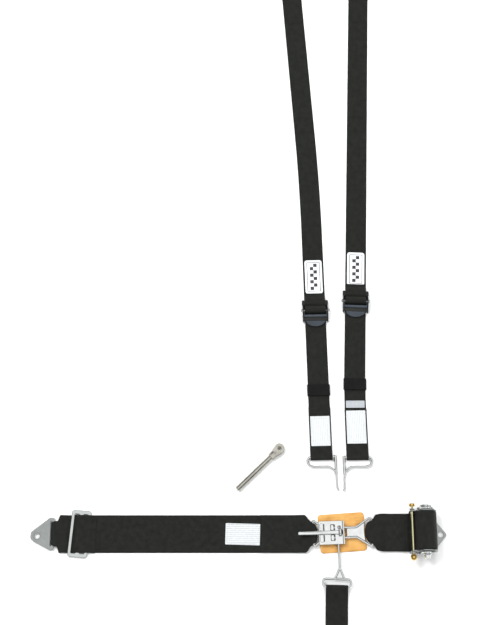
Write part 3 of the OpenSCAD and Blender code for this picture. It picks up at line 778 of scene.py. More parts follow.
def anchor_plate(name, matrix, loop_w, body, node, nose_y=0.0):
    """Stamped anchor plate that points to +X, with its slot's bar along Y at the origin."""
    arm = loop_w / 2 + 7.6
    tip, half_nose = ANCHOR_REACH + ANCHOR_NOSE, ANCHOR_NOSE * 0.55
    outer = rounded([(-2.4, -arm), (7, -arm), (tip, nose_y - half_nose), (tip, nose_y + half_nose), (7, arm),
                     (-2.4, arm)], [3, 7, 11, 11, 7, 3], 8)
    slot_hole = box_outline(2.9, loop_w + 1.6, 1.2, 4.05, 0)
    bolt_hole = ring_outline(BOLT_R, ANCHOR_REACH, nose_y)
    face = plate(outer, [slot_hole, bolt_hole], ANCHOR_Z - 1.5, ANCHOR_Z + 1.5, 0.45)
    rim = ring_outline(BOLT_R + 2.2, ANCHOR_REACH, nose_y)
    collar = plate(rim, [bolt_hole], ANCHOR_Z + 1.4, ANCHOR_Z + 1.85, 0.2)
    return finished(name, joined(name, [face, collar]), matrix, ZINC, body, [node])


def slide_frame(name, matrix, width, bottom, body, node, look):
    """Three-bar slide for webbing that runs along the local X."""
    opening = width + 3
    outer = box_outline(5 * SLIDE_BAND, opening + 15.4, 6)
    holes = [box_outline(SLIDE_BAND + 1.6, opening, 2.4, x * (SLIDE_BAND + 0.8), 0) for x in (-1, 1)]
    face = plate(outer, holes, bottom, bottom + SLIDE_T, 1.1)
    return finished(name, face, matrix, look, body, [node])


def slide_turn(name, matrix, width, bar_top, low, body):
    """The run of webbing that rises through a slide's first slot and lies over its two other bars."""
    route = [(-11.6, low), (-11.0, bar_top - 2), (-7, bar_top + 1.1), (0, bar_top + 1.5), (8, bar_top + 0.9),
             (16, bar_top + 1.4), (21, bar_top + 0.6), (26, low + 1), (33, low)]
    return webbing(name, smoothed(route, 1.5, 3), lambda s, k: width / 2, flat_place(matrix), body,
                   thickness=1.3)


def left_lap():
    """Left lap belt from its anchor's bar to the latch's bail, with its label, anchor plate and slide."""
    bail_x = latch_middle.x - BAIL_X * math.cos(math.radians(LATCH_TURN))
    ax = lap_anchor.x
    top = FLOOR_Z + LAYER
    route = [(44, top), (112, top + 0.2), (132, top + 3.4)]
    route += arc(bail_x + BAIL_SLACK, WIRE_Z, FOLD_R, 90, -90)
    route += [(bail_x, WIRE_Z - FOLD_R), (136, FLOOR_Z + 2.2), (120, FLOOR_Z), (0, FLOOR_Z),
              (ax + 22, FLOOR_Z)]
    route += arc(ax, ANCHOR_Z, ANCHOR_FOLD_R, 270, 90)
    route += [(ax + 16, ANCHOR_Z + 0.4), (ax + 24, top + 0.3), (ax + 29, top)]

    def half(s, k):
        near = 23.2 + 2.3 * between(s, ax - 3, ax + 4)
        near += (LAP_W / 2 - 25.5) * between(s, ax + 10, ax + 12.5)
        sewn = 0.6 if s > 44 else 0
        end = profile(s, [(bail_x - 17, LAP_W / 2 + sewn), (bail_x, 25), (bail_x + 6, 19.5),
                          (bail_x + 10, 17.5)])
        return min(near, end)

    shear = lambda s: math.tan(math.radians(LATCH_TURN)) * between(s, 110, 148)
    rounding = lambda s: -0.012 * between(s, bail_x - 14, bail_x + 8)
    place = flat_place(LAP, shear, rounding)
    webbing("left_lap_strap", smoothed(route), half, place, "left_lap_belt",
            ["left_lap_webbing"])
    level = top + WEB_T / 2 + 0.05
    rise = lambda s: level + 4.6 * between(s, 112, 136)
    runs = box_runs(48, 106, 34) + [((112, -33), (112, 33)), ((118, -32), (118, 32))]
    stitches("left_lap_stitching", runs, place, rise, "left_lap_belt")
    z = FLOOR_Z + WEB_T / 2
    label = plate(box_outline(70, 43, 1.5), [], z + 0.05, z + 0.55, 0.18)
    label.transform(Matrix.Rotation(math.radians(-1.5), 4, "Z"))
    made = finished("left_lap_label_cloth", label, LAP @ Matrix.Translation((7.5, -0.5, 0)), LABEL,
                    "left_lap_belt", ["left_lap_label"])
    outline = box_runs(-24, 39, 18.5, False)
    stitches("left_lap_label_stitching", outline, place, z + 0.5, "left_lap_belt", GREY_THREAD,
             2.2, 2.7, 0.25)
    anchor_plate("left_lap_anchor_plate", placed(ax, lap_anchor.y, 180), 49, "left_lap_anchor_body",
                 "left_lap_anchor", nose_y=4.5)
    middle = middle_of("left_lap_slide")
    frame_at = placed(middle.x, middle.y, -4.5)
    slide_frame("left_lap_slide_frame", frame_at, LAP_W, 2.1, "left_lap_slide_body", "left_lap_slide",
                SLIDE_STEEL)
    slide_turn("left_lap_slide_turn", placed(middle.x, middle.y, -1.5), LAP_W, 5.1, 2.5,
               "left_lap_slide_body")


left_lap()


# ---- Latch ----

BASE_Z = 4.3
BASE_TOP = 5.6
COVER_Z = 11.2
COVER_TOP = COVER_Z + 2
PIN_Z = 17.2
LATCH_L = 52
LATCH_W = 47
EYELET = (15.5, 10.3)


def latch():
    """Latch's base, cover, bail, pin and hollow rivet."""
    outline = box_outline(LATCH_L, LATCH_W, 2.5)
    base = plate(outline, [ring_outline(3, -13, 0)], BASE_Z, BASE_TOP, 0.3)
    finished("latch_base_plate", base, LATCH, ZINC, "latch", ["latch_base"])
    windows = [box_outline(9, 13, 2.2, 2.2, y) for y in (-10, 10)]
    slots = [box_outline(1.6, 13, 0.7, -15.4, y) for y in (-11.2, 11.2)]
    lever_window = box_outline(11, 8.1, 0.8, PIN_X, 0)
    eyelet = ring_outline(2.7, *EYELET)
    parts = [plate(outline, [*windows, *slots, lever_window, eyelet], COVER_Z, COVER_TOP, 0.45)]
    for y in (-1, 1):
        tab = plate(box_outline(7.6, 15, 2.2), [], COVER_TOP - 0.3, COVER_TOP + 1.7, 0.9)
        parts.append(moved(tab, -20.4, y * 11.2))
        tongue = plate(box_outline(5.6, 11, 1.8), [], COVER_Z + 0.2, COVER_TOP - 0.5, 0.5)
        parts.append(moved(tongue, 1.4, y * 10.2))
        for x0, x1 in ((-24, 7), (18, 24)):
            side = [(x0, BASE_TOP), (x1, BASE_TOP), (x1, COVER_Z + 1), (x0, COVER_Z + 1)]
            parts.append(upright(plate(rounded(side, 0.4), [], -0.5, 0.5, 0.2), y * 23))
        ear = rounded([(-3.6, COVER_Z), (3.6, COVER_Z), (3.6, 20.4), (-3.6, 20.4)], [0.3, 0.3, 3.5, 3.5])
        ear = [p + Vector((PIN_X, 0)) for p in ear]
        ear = plate(ear, [ring_outline(1.75, PIN_X, PIN_Z)], -1, 1, 0.35)
        parts.append(upright(ear, y * 5.05))
    lip = plate(rounded([(21.2, COVER_Z), (26, COVER_Z), (26, COVER_TOP + 2.4), (22.6, COVER_TOP + 2.4)],
                        [0.2, 0.2, 1.6, 1.6]), [], -23.5, 23.5, 0.5)
    parts.append(upright(lip))
    finished("latch_cover_plate", joined("cover", parts), LATCH, BRIGHT, "latch",
             ["latch_cover"])
    bail = wire([(-15, 19, WIRE_Z), (-27.5, 19, WIRE_Z), (-BAIL_X, 28, WIRE_Z), (-BAIL_X, -28, WIRE_Z),
                 (-27.5, -19, WIRE_Z), (-15, -19, WIRE_Z)], WIRE_R, 5)
    finished("latch_bail_wire", bail, LATCH, BRIGHT, "latch", ["latch_bail"])
    pin_end = [(1.75, 6.05), (2.8, 6.1), (2.8, 6.6), (2.6, 7.2), (1.2, 7.5)]
    pin = moved(turned([(radius, -y) for radius, y in pin_end[::-1]] + pin_end, 20), PIN_X, 0, PIN_Z)
    finished("latch_pin_turned", pin, LATCH, DULL, "latch", ["latch_pin"])
    ring = plate(ring_outline(3.9, *EYELET), [ring_outline(1.7, *EYELET)], COVER_TOP - 0.1, COVER_TOP + 1,
                 0.5)
    finished("latch_eyelet_ring", ring, LATCH, DULL, "latch", ["latch_eyelet"])
    lever()


def lever():
    """Flat-sided lever with a rounded tip, a slight crank at its root and a rolled eye round the pin."""
    edge = [(-68.2, -3.2), (-40, -3.75), (8, -3.75), (14, -3.6)]
    radii = [3.1, 8, 3, 0.4]
    outline = rounded(edge + [(x, -y) for x, y in edge[::-1]], radii + radii[::-1], 8)
    bar = plate(outline, [], 14.7, 17.7, 0.85)
    for v in bar.vertices:
        far = -v.co.x
        v.co.z += 1.1 * between(far, 52, 70) - 0.5 * between(far, 0, 30) * (1 - between(far, 50, 66))
    eye = turned([(1.81, -3.75), (3.3, -3.75), (3.6, -3.4), (3.6, 3.4), (3.3, 3.75), (1.81, 3.75)], 28)
    cam = plate(box_outline(3.2, 3.8, 0.8, PIN_X, 14.1), [], -3.6, 3.6, 0.3)
    parts = [bar, moved(eye, PIN_X, 0, PIN_Z), upright(cam)]
    finished("latch_lever_bar", joined("lever", parts), LATCH, BRIGHT, "lever",
             ["latch_lever"])


def pad():
    """Leather pad: a rounded rectangle with a softly crowned face and rolled edges."""
    middle = middle_of("latch_pad")
    length, width, corner, thick = 94.0, 78.0, 6.0, 3.0
    nx, ny = 48, 40
    points, faces = [], []

    def inset(x, y):
        """Distance inside the rounded outline."""
        dx, dy = abs(x) - (length / 2 - corner), abs(y) - (width / 2 - corner)
        outside = math.hypot(max(dx, 0), max(dy, 0)) + min(max(dx, dy), 0)
        return corner - outside

    def fitted(u, v):
        """Square grid point moved onto the rounded rectangle."""
        x, y = u * length / 2, v * width / 2
        over = -inset(x, y)
        if over > 0:
            cx = math.copysign(length / 2 - corner, x)
            cy = math.copysign(width / 2 - corner, y)
            away = Vector((x - cx, y - cy))
            away *= corner / away.length
            x, y = cx + away.x, cy + away.y
        return x, y

    for layer in (1, -1):
        for j in range(ny + 1):
            for i in range(nx + 1):
                x, y = fitted(2 * i / nx - 1, 2 * j / ny - 1)
                edge = min(max(inset(x, y), 0) / 2.4, 1)
                round_off = math.sqrt(1 - (1 - edge) ** 2)
                wavy = 0.16 * math.sin(x * 0.11 + 1) * math.sin(y * 0.09)
                z = thick / 2 + layer * round_off * (thick / 2 - 0.12) + (wavy if layer > 0 else 0)
                points.append((x, y, max(z - 0.1, 0.02)))
    row, size = nx + 1, (nx + 1) * (ny + 1)
    for j in range(ny):
        for i in range(nx):
            a = j * row + i
            faces.append((a, a + 1, a + row + 1, a + row))
            faces.append((size + a, size + a + row, size + a + row + 1, size + a + 1))
    rim = (list(range(row)) + [j * row + nx for j in range(1, ny + 1)]
           + [ny * row + i for i in range(nx - 1, -1, -1)] + [j * row for j in range(ny - 1, 0, -1)])
    for a, b in zip(rim, rim[1:] + rim[:1]):
        faces.append((a, size + a, size + b, b))
    made = finished("leather_pad", mesh_of("pad", points, faces), placed(middle.x, middle.y, 4), LEATHER,
                    "latch", ["latch_pad"], 70)


latch()
pad()


# ---- Right lap belt and ratchet ----

def right_lap():
    """Wire link with its gusset, and the short right lap belt from the link to the ratchet."""
    link_points = [(-4, -10), (50, -10), (82, -31), (82, 31), (50, 10), (-4, 10)]
    loop = wire([(x, y, WIRE_Z) for x, y in link_points], WIRE_R, 5, True)
    edge = [(31, -8), (48, -9.4), (67, -20), (66, -10)]
    radii = [1.0, 6, 1.5, 8]
    web = rounded(edge + [(65.5, 0)] + [(x, -y) for x, y in edge[::-1]], radii + [8] + radii[::-1])
    gusset = plate(web, [], WIRE_Z - 1, WIRE_Z + 1, 0.35)
    finished("right_link_wire", joined("link", [loop, gusset]), LATCH, BRIGHT, "link",
             ["right_link"])
    bx = link_bar.x
    front = bx - LINK_SLACK - FOLD_R
    under = 3.1
    route = [(spool.x, under), (300, under), (287, under + 0.2), (bx + 8, 4.2)]
    route += [(bx, WIRE_Z - FOLD_R)] + arc(bx - LINK_SLACK, WIRE_Z, FOLD_R, 270, 90)
    over = under + LAYER
    route += [(bx, WIRE_Z + FOLD_R), (bx + 10, 10.6), (bx + 26, over + 1.0), (bx + 40, over), (343, over)]

    def half(s, k):
        return profile(s, [(front, 20), (front + 6, 23), (front + 10, 27), (front + 16, 31.5),
                           (front + 23, 35.3), (front + 30, 37.3), (front + 38, LAP_W / 2)])

    shear = lambda s: math.tan(math.radians(LATCH_TURN)) * (1 - between(s, bx, bx + 40))
    rounding = lambda s: 0.016 * (1 - between(s, front, front + 24))
    place = flat_place(RIGHT, shear, rounding)
    webbing("right_lap_strap", smoothed(route), half, place, "right_lap_belt",
            ["right_lap_webbing"])
    level = over + WEB_T / 2 + 0.05
    rise = lambda s: level + 5.2 * between(-s, -bx - 34, -bx - 10)
    stitches("right_lap_stitching", box_runs(bx + 32, 338, 33), place, rise, "right_lap_belt")
    ratchet()


def toothed_outline(radius, root, teeth):
    """Wheel's outline with evenly spaced slanted teeth."""
    points = []
    step = 360 / teeth
    for i in range(teeth):
        base = i * step + step / 2
        for turn, r in ((-12, root), (4, radius), (9, radius), (12, root)):
            t = math.radians(base + turn)
            points.append(Vector((r * math.cos(t), r * math.sin(t))))
    return points


def ratchet():
    """Ratchet's frame with its bolt-in tab, spool shaft, toothed wheels and drive hexagon."""
    foot = -spool.z + 0.05
    sides = []
    for y in (-SIDE_Y, SIDE_Y):
        outline = rounded([(-32, foot), (21, foot), (21, 6), (13, 18), (-9, 20.5), (-20, 7), (-32, 6)],
                          [1.5, 1.5, 9, 9, 12, 5, 5], 8)
        holes = [ring_outline(7.1, 0, 0), ring_outline(2.85, ROD_X, 0), ring_outline(2.4, 14, -17),
                 ring_outline(2.4, -13, -20)]
        sides.append(upright(plate(outline, holes, -1.25, 1.25, 0.4), y))
    floor_plate = plate(rounded([(-10, -39), (24, -39), (24, 39), (-10, 39)], 1), [], foot, foot + 1.95, 0.4)
    tip = 408 - spool.x
    tongue = rounded([(18, -32), (26, -27), (tip + 6, -12), (tip + 13, -4), (tip + 6, 4), (26, 19), (18, 24)],
                     [2, 6, 8, 9, 8, 6, 2], 8)
    tab = plate(tongue, [ring_outline(BOLT_R, tip, -4)], foot, foot + 2.95, 0.4)
    finished("ratchet_side_frame", joined("frame", [*sides, floor_plate, tab]), SPOOL, ZINC, "right_lap_belt",
             ["ratchet_frame"])
    shaft = turned([(5.5, -42.8), (7, -42.2), (7, 42.2), (5.5, 42.8)], 32)
    finished("spool_shaft", shaft, SPOOL, DULL, "spool", ["ratchet_spool"])
    wheels = []
    for y in (-WHEEL_Y, WHEEL_Y):
        holes = [ring_outline(2.1, 10.5 * math.cos(a), 10.5 * math.sin(a), 16) for a in (0.4, 2.5, 4.6)]
        wheels.append(upright(plate(toothed_outline(17.4, 14.8, 12), holes, -1.75, 1.75, 0.3), y))
    wheels.append(turned([(2.5, 46.1), (8.5, 46.3), (9, 46.9), (9, 47.7), (8.4, 48.3), (3, 48.5)], 28))
    wheels.append(upright(plate(toothed_outline(12.6, 9.6, 8), [], -1.6, 1.6, 0.4), 50.0))
    finished("toothed_wheels", joined("wheels", wheels), SPOOL, BRIGHT, "spool",
             ["ratchet_wheels"])
    hexagon = upright(plate(ring_outline(6.93, steps=6), [], -3.6, 3.6, 0.5), -51.2)
    washer = turned([(3, -0.8), (8.6, -0.8), (9, -0.3), (9, 0.3), (8.6, 0.8), (3, 0.8)], 28)
    head = [hexagon, moved(washer, 0, -47.1)]
    finished("drive_hexagon", joined("head", head), SPOOL, BRIGHT, "spool", ["drive_head"])
    roll()
    release()


def roll():
    """Wound webbing: one flat spiral from the spool outwards, a little uneven from turn to turn."""
    start_r, end_r, pitch = 8.0, 21.5, 1.66
    turns = (end_r - start_r) / pitch
    steps = int(turns * 40)
    route = []
    for i in range(steps + 1):
        t = i / steps
        angle = 2 * math.pi * turns * (t - 1) - math.pi / 2
        radius = start_r + (end_r - start_r) * t
        route.append(Vector((radius * math.cos(angle), radius * math.sin(angle))))

    def half(s, k):
        return LAP_W / 2 - 0.25 + 0.25 * math.sin(k * 60)

    def place(s, a, z):
        return SPOOL @ Vector((s, a, z))

    mesh, length = sweep("webbing_roll_spiral", route, half, place, 1.5)
    made = finished("webbing_roll_spiral", mesh, Matrix.Identity(4), WEBBING, "spool",
                    ["webbing_roll"], 50)


def release():
    """Release rod with its ball knob, cap, pawl plate and spring, along the ratchet's frame."""
    rod = turned([(1.8, -46), (2.75, -45.4), (2.75, ROD_TOP - 1), (1.8, ROD_TOP)], 24)
    finished("release_rod_turned", moved(rod, ROD_X), SPOOL, BRASS, "release", ["release_rod"])
    ball_r = 6.5
    turns = [math.radians(a) for a in range(10, 150, 8)]
    ball = [(0.4, -ball_r)] + [(ball_r * math.sin(t), -ball_r * math.cos(t)) for t in turns]
    ball += [(3.7, 5.6), (3.7, 6.7), (2.8, 6.9)]
    knob = moved(turned(ball, 36), ROD_X, KNOB_Y)
    finished("release_knob_turned", knob, SPOOL, KNOB, "release", ["release_knob"])
    cap = [(2.8, -2.75), (4, -2.7), (5.6, -2.3), (6, -1.4), (6, 1.2), (5.8, 2.2), (5, 2.75), (1.5, 2.75)]
    cap = moved(turned(cap), ROD_X, ROD_TOP)
    finished("release_cap_turned", cap, SPOOL, KNOB, "release", ["release_cap"])
    nose = -17.75
    edge = [(ROD_X - 5, -4.6), (ROD_X + 3, -4.6), (nose, -1)]
    outline = rounded(edge + [(x, -z) for x, z in edge[::-1]], [4, 3, 0.4, 0.4, 3, 4], 8)
    pawl = upright(plate(outline, [ring_outline(2.8, ROD_X, 0)], -1.3, 1.3, 0.3), -WHEEL_Y + 0.3)
    finished("ratchet_pawl_plate", pawl, SPOOL, ZINC, "release", ["ratchet_pawl"])
    coils, steps, coil_r, first, last = 3, 20, 4.3, 42.1, 44.6
    spring = []
    for i in range(coils * steps + 1):
        t = i / (coils * steps)
        a = 2 * math.pi * coils * t
        spring.append((ROD_X + coil_r * math.cos(a), first + (last - first) * t, coil_r * math.sin(a)))
    finished("release_spring_coil", wire(spring, 0.42, 0.4), SPOOL, DULL, "right_lap_belt",
             ["rod_spring"])


right_lap()


# ---- Crotch strap ----

def crotch():
    """Crotch hook with its D-ring, the strap on the ring's bar, and the anchor plate at its far end."""
    neck, mouth = -66.0, 12.5
    shank = wire([(mouth, -15.5, WIRE_Z), (mouth, neck - 4, WIRE_Z)], WIRE_R)
    arms = []
    for x in (-12, 8):
        route = [(mouth, neck + 4), (mouth, neck - 4), (mouth + x, neck - 27)]
        arms.append(wire([(*point, WIRE_Z) for point in route], 2.2, 8))
    web = rounded([(mouth, neck - 1), (mouth + 7.4, neck - 26), (mouth - 11, neck - 26)], [1, 1, 1], 3)
    gusset = plate(web, [], WIRE_Z - 0.7, WIRE_Z + 0.7, 0.2)
    finished("crotch_hook_shank", joined("hook", [shank, *arms, gusset]), LATCH, BRIGHT, "crotch_hook_body")
    ring = [(-27.5, 0), (-28.5, 15.5), (28.5, 15.5), (27.5, 0)]
    ring = wire([(x, y, WIRE_Z) for x, y in ring], WIRE_R, [7, 10, 10, 7], True)
    finished("crotch_hook_ring", ring, CROTCH, BRIGHT, "crotch_hook_body", ["crotch_hook"])
    length = (crotch_end - crotch_bar).length - 0.1
    along = CROTCH @ Matrix.Rotation(math.radians(-90), 4, "Z")
    top = FLOOR_Z + LAYER
    route = [(78, top), (30, top + 0.3), (16, top + 3.5)] + arc(0, WIRE_Z, FOLD_R, 90, 270)
    route += [(14, FLOOR_Z + 2.4), (30, FLOOR_Z), (length - 24, FLOOR_Z)]
    route += arc(length, ANCHOR_Z, ANCHOR_FOLD_R, -90, 90)
    route += [(length - 16, ANCHOR_Z + 0.4), (length - 26, top), (length - 52, top)]

    def half(s, k):
        return STRAP_W / 2 - 2 * between(s, length - 12, length - 6)

    place = flat_place(along)
    webbing("crotch_strap_webbing", smoothed(route), half, place, "crotch_strap",
            ["crotch_webbing"])
    level = top + WEB_T / 2 + 0.05
    runs = box_runs(34, 73, 17.5) + box_runs(length - 49, length - 29, 17.5, False)
    stitches("crotch_stitching", runs, place, level, "crotch_strap")
    anchor_plate("crotch_anchor_plate", along @ Matrix.Translation((length, 0, 0)), STRAP_W - 4,
                 "crotch_anchor_body", "crotch_anchor")


crotch()


# ---- Shoulder straps ----

def shoulder_strap(name):
    """Webbing of a shoulder strap from its hook to its anchor. Returns what the parts on it need."""
    side = SIDES[name]
    length = strap_length(name)
    tail, fit = TAIL_END[side], ADJUSTER_AT[side]
    top = FLOOR_Z + LAYER
    route = [(tail, top), (17, top + 0.1), (10, top + 1.6)] + arc(-2.6, HOOK_Z, 3.35, 90, 270)
    route += [(14, FLOOR_Z + 0.1), (fit - 44, FLOOR_Z), (fit - 26, 3.1), (fit + 26, 3.1), (fit + 44, FLOOR_Z),
              (length - 24, FLOOR_Z)]
    route += arc(length, ANCHOR_Z, ANCHOR_FOLD_R, -90, 90)
    route += [(length - 16, ANCHOR_Z + 0.4), (length - 26, top), (length - 40, top)]

    def half(s, k):
        sewn = 0.5 if s < tail and k < 0.5 else 0
        return STRAP_W / 2 + sewn - 2 * between(s, length - 12, length - 6)

    place = curved_place(name)
    body = name + "_shoulder_strap"
    webbing(name + "_shoulder_strap_webbing", smoothed(route), half, place, body,
            [name + "_shoulder_webbing"], ripple=0.35)
    level = top + WEB_T / 2 + 0.05
    runs = box_runs(tail - 12, tail - 3, 19, False) if side == 0 else []
    runs += [((6, -18), (6, 18)), ((18, -19), (18, 19))]
    rise = lambda s: level + 0.3 + 2.2 * between(-s, -20, -4)
    stitches(name + "_strap_stitching", runs, place, rise, body)
    return level, place, body, length


def shoulder_labels(name, level, place, body):
    """Sewn label of a shoulder strap, and the right strap's small silver one."""
    side = SIDES[name]
    start, size = LABEL_FROM[side], LABEL_LEN[side]
    label = plate(box_outline(40, size, 1.2), [], level + 0.1, level + 0.6, 0.18)
    made = finished(name + "_label_cloth", label, on_strap(name, start + size / 2), STRAP_LABEL, body,
                    [name + "_shoulder_label"])
    runs = box_runs(start + 4, start + size - 5, 16, False)
    stitches(name + "_label_stitching", runs, place, level + 0.55, body, GREY_THREAD, 2.2, 2.7, 0.24)
    if side == 0:
        return
    tag = plate(box_outline(39, 15, 0.8), [], FLOOR_Z + 0.8, FLOOR_Z + 1.25, 0.15)
    made = finished("right_size_label_cloth", tag, on_strap(name, SIZE_LABEL_AT), SILVER_LABEL, body,
                    ["right_size_label"])


def hook(name):
    """Wire hook: a ring for the webbing, and a shank that runs on as a thin tail."""
    side = 1 if name == "left" else -1
    shank = 28.5

    def bent(points, radius, bend=6.0):
        return wire([(side * x, y, HOOK_Z) for x, y in points], radius, bend)

    ring = bent([(shank, 0), (-26, 0), (-30, -7), (-26, -17), (-17, -20), (15, -20), (shank, -31)], 2.4, 5)
    upper = bent([(shank, 3.4), (shank, -36)], 2.95)
    lower = bent([(shank, -30), (shank + 1, -64), (shank + 3.6, -70)], 1.9, 8)
    finished(name + "_hook_wire", joined("hook", [ring, upper, lower]), on_strap(name, 0), BRIGHT,
             name + "_hook_body", [name + "_shoulder_hook"])


def keeper(name):
    """Elastic band round the strap, with soft edges."""
    at_s = KEEPER_AT[SIDES[name]]
    outer = box_outline(STRAP_W + 3.4, 5.6, 2.2, 0, 2.95)
    inner = box_outline(STRAP_W + 1.2, 3.4, 1.2, 0, 2.95)
    band = plate(outer, [inner], -12, 12, 0.5)
    band.transform(Matrix.Rotation(math.pi / 2, 4, "X"))
    finished(name + "_keeper_band", band, on_strap(name, at_s), ELASTIC, name + "_keeper_body",
             [name + "_keeper"], 50)


def patch(name):
    """Raised patch on the strap."""
    level = FLOOR_Z + WEB_T / 2 + 0.1
    face = plate(box_outline(37.2, 76, 6), [], level, level + 1.1, 0.45)
    body = name + "_shoulder_strap"
    finished(name + "_patch_face", face, on_strap(name, PATCH_AT[SIDES[name]]), PATCH, body,
             [name + "_patch"])


ADJUSTER_PIN_Z = 10.5
ADJUSTER_HALF = 25.4


def lengthwise(mesh, degrees=90):
    """Turns a mesh about Z, by default so that Y becomes -X."""
    mesh.transform(Matrix.Rotation(math.radians(degrees), 4, "Z"))
    return mesh


def adjuster_frame(name, matrix, body):
    """Adjuster's black channel with a raised far end, and its bright side plates and pin."""
    inner = ADJUSTER_HALF
    parts = [plate(box_outline(2 * inner + 3, 38, 2), [], 0.05, 1.9, 0.35)]
    for x in (-1, 1):
        cheek = [(-23, 0.2), (24, 0.2), (24, 9.5), (12, 11), (5, 16.4), (-6, 16.4), (-12, 10), (-23, 9)]
        cheek = rounded(cheek, [1, 1, 2, 3, 5, 5, 4, 2], 6)
        hole = ring_outline(2.0, 0, ADJUSTER_PIN_Z)
        parts.append(crosswise(plate(cheek, [hole], -0.7, 0.7, 0.25), x * (inner + 0.7)))
    parts.append(moved(plate(box_outline(2 * inner + 5, 11, 1.6), [], 6.8, 8.6, 0.5), 0, 18.5))
    parts.append(moved(plate(box_outline(2 * inner + 1, 6.5, 1.6), [], 5.6, 8.0, 0.7), 0, -19))
    finished(name + "_adjuster_channel", joined("channel", parts), matrix, BLACK, body,
             [name + "_adjuster_frame"])
    bright = []
    for x in (-1, 1):
        strip = rounded([(-24, 3.4), (2, 4.6), (5, 13.4), (-4, 13.8), (-24, 8.4)], [1.2, 2.4, 3, 3, 1.2], 6)
        bright.append(crosswise(plate(strip, [], -0.55, 0.55, 0.25), x * (inner + 2.1)))
        pin_end = turned([(0.8, 0), (3.2, 0.05), (3.9, 0.7), (3.9, 1.5), (3.1, 2.3), (0.8, 2.5)], 24)
        bright.append(moved(lengthwise(pin_end, -90 * x), x * (inner + 2.7), 0, ADJUSTER_PIN_Z))
    shaft = turned([(1.9, -inner - 2.6), (1.9, inner + 2.6)], 20)
    bright.append(moved(lengthwise(shaft), 0, 0, ADJUSTER_PIN_Z))
    finished(name + "_adjuster_side_plates", joined("bright", bright), matrix, BRIGHT, body,
             [name + "_adjuster_pin"])


def adjuster_webbing(name, matrix, body):
    """Turn of webbing over the adjuster's far end and round its bar."""
    half_w = 22.0
    route = [(41, 2.9), (34, 4.2), (26, 9.4), (24, 9.9), (15.5, 9.9), (12.5, 6.2), (10.5, 6.4), (8.6, 10.5)]
    route += arc(1.3, ADJUSTER_PIN_Z, 7.0, 5, 190)
    place = flat_place(matrix @ Matrix.Rotation(math.pi / 2, 4, "Z"))
    webbing(name + "_adjuster_webbing_turn", smoothed(route, 1.3, 3), lambda s, k: half_w, place, body)


def adjuster_cam(name, matrix, cam):
    """Parts that tilt about the pin: roller, slate bar, black lip, arms and thumb tab."""
    bar = lengthwise(turned([(3.2, -22.6), (4.0, -21.8), (4.0, 21.8), (3.2, 22.6)], 28))
    finished(name + "_adjuster_roller", moved(bar, 0, 0, ADJUSTER_PIN_Z), matrix, BLACK, cam,
             [name + "_adjuster_bar"])
    arms = []
    for x in (-1, 1):
        arm = [(-14, 8.6), (0, 7.6), (3.6, ADJUSTER_PIN_Z), (0, 13.4), (-14, 12.4)]
        arm = rounded(arm, [2, 3, 3, 3, 2], 6)
        hole = ring_outline(2.0, 0, ADJUSTER_PIN_Z)
        arms.append(crosswise(plate(arm, [hole], -0.6, 0.6, 0.25), x * 23.9))
    cross = plate(box_outline(6.2, 5.8, 3.0, -11.8, 10.5), [], -24.2, 24.2, 0.5)
    # The tilt bar takes the lighter copy of the slate coat: a painted highlight on the bar.
    finished(name + "_adjuster_tilt_bar", crosswise(cross), matrix, LIT_SLATE_BAR, cam)
    turns = [math.radians(a) for a in range(180, 361, 9)]
    rim = [Vector((20.5 * math.cos(t), -21.5 + 12.5 * math.sin(t))) for t in turns]
    tab = plate(rim + [Vector((20, -13.6)), Vector((-20, -13.6))], [], 7.4, 9.6, 0.8)
    for v in tab.vertices:
        v.co.z -= 2.2 * between(-v.co.y, 22, 34)
    arms.append(tab)
    lip = rounded([(-22.4, 9.2), (-15.4, 9.2), (-15.4, 11.2), (-22.4, 10.6)], 0.8)
    lip = plate(lip, [], -24.4, 24.4, 0.4)
    finished(name + "_adjuster_lip", crosswise(lip), matrix, BLACK, cam)
    finished(name + "_adjuster_thumb_tab", joined("tab", arms), matrix, SLATE, cam,
             [name + "_adjuster_tab"])


def adjuster(name):
    """Tilt-lock adjuster on its strap."""
    matrix = on_strap(name, ADJUSTER_AT[SIDES[name]])
    body = name + "_adjuster"
    adjuster_frame(name, matrix, body)
    adjuster_webbing(name, matrix, body)
    adjuster_cam(name, matrix, name + "_adjuster_cam")


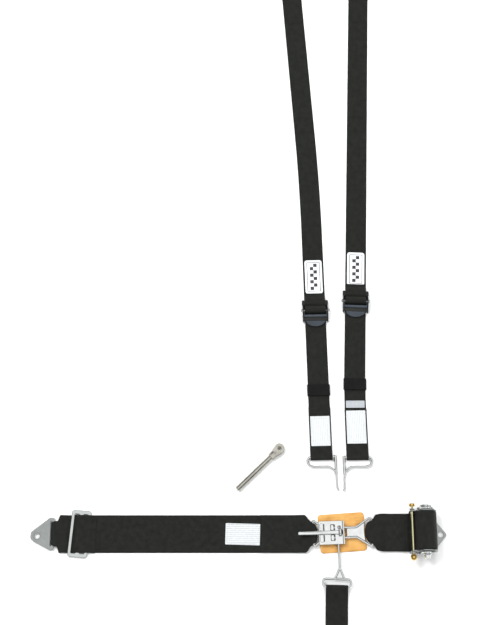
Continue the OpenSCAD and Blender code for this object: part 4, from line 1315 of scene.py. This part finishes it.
def shoulder(name):
    """One whole shoulder strap."""
    level, place, body, length = shoulder_strap(name)
    shoulder_labels(name, level, place, body)
    hook(name)
    keeper(name)
    patch(name)
    adjuster(name)
    along = lambda s: on_strap(name, s) @ Matrix.Rotation(math.pi / 2, 4, "Z")
    slide_at = along(length - SLIDE_BEFORE_END)
    slide_frame(name + "_slide_frame", slide_at, STRAP_W, 4.4, name + "_slide_body",
                name + "_shoulder_slide", BLACK)
    slide_turn(name + "_slide_turn", slide_at, STRAP_W, 7.4, 3.4, name + "_slide_body")
    anchor_plate(name + "_anchor_plate", along(length), STRAP_W - 4, name + "_anchor_body",
                 name + "_shoulder_anchor")


shoulder("left")
shoulder("right")


# ---- Loose ratchet handle ----

def handle():
    """Round bar with a turned end, and a forked head with two ring-shaped ears and a cross pin."""
    matrix = placed(-4, -446, 44)
    half, head_x, pin_x = 5.3, 96, 109
    bar = turned([(2.6, 0.1), (4.4, 0.7), (5.1, 2.0), (half, 4.5), (half, 70), (half, head_x)])
    bar = lengthwise(bar, -90)
    finished("handle_forged_bar", moved(bar, 0, 0, half), matrix, DULL_CHROME, "handle",
             ["handle_shank"])
    ring_x, ring_r, hole_r = 121.6, 10.4, 3.8
    rim = [(ring_x + ring_r * math.cos(math.radians(a)), ring_r * math.sin(math.radians(a)))
           for a in range(-100, 101, 10)]
    ear = [Vector(p) for p in [(head_x, -6.3), (104, -6.6), *rim, (104, 6.6), (head_x, 6.3)]]
    parts = []
    pin_hole = ring_outline(1.9, pin_x, 0, 16)
    slot = rounded([(99.5, 2.6), (107.5, 2.6), (107.5, 5.0), (99.5, 5.0)], 1.1)
    for z, extra in ((0.05, []), (7.8, [slot])):
        parts.append(plate(ear, [ring_outline(hole_r, ring_x, 0), pin_hole, *extra], z, z + 2.75, 0.5))
    parts.append(plate(box_outline(3, 12.4, 0.8, head_x + 1.5), [], 0.6, 10.0, 0.4))
    finished("handle_forked_head", joined("head", parts), matrix, DULL_CHROME, "handle",
             ["handle_head"])
    pin = [plate(ring_outline(1.8, pin_x, 0, 20), [], 0.1, 10.6, 0.3),
           plate(ring_outline(2.6, pin_x, 0), [], 10.6, 11.2, 0.25)]
    finished("handle_cross_pin", joined("pin", pin), matrix, DULL, "handle",
             ["handle_rivets"])


handle()

latch_spring = frame["nodes"]["latch_spring"]
latch_spring.data.materials.clear()
latch_spring.data.materials.append(DULL)
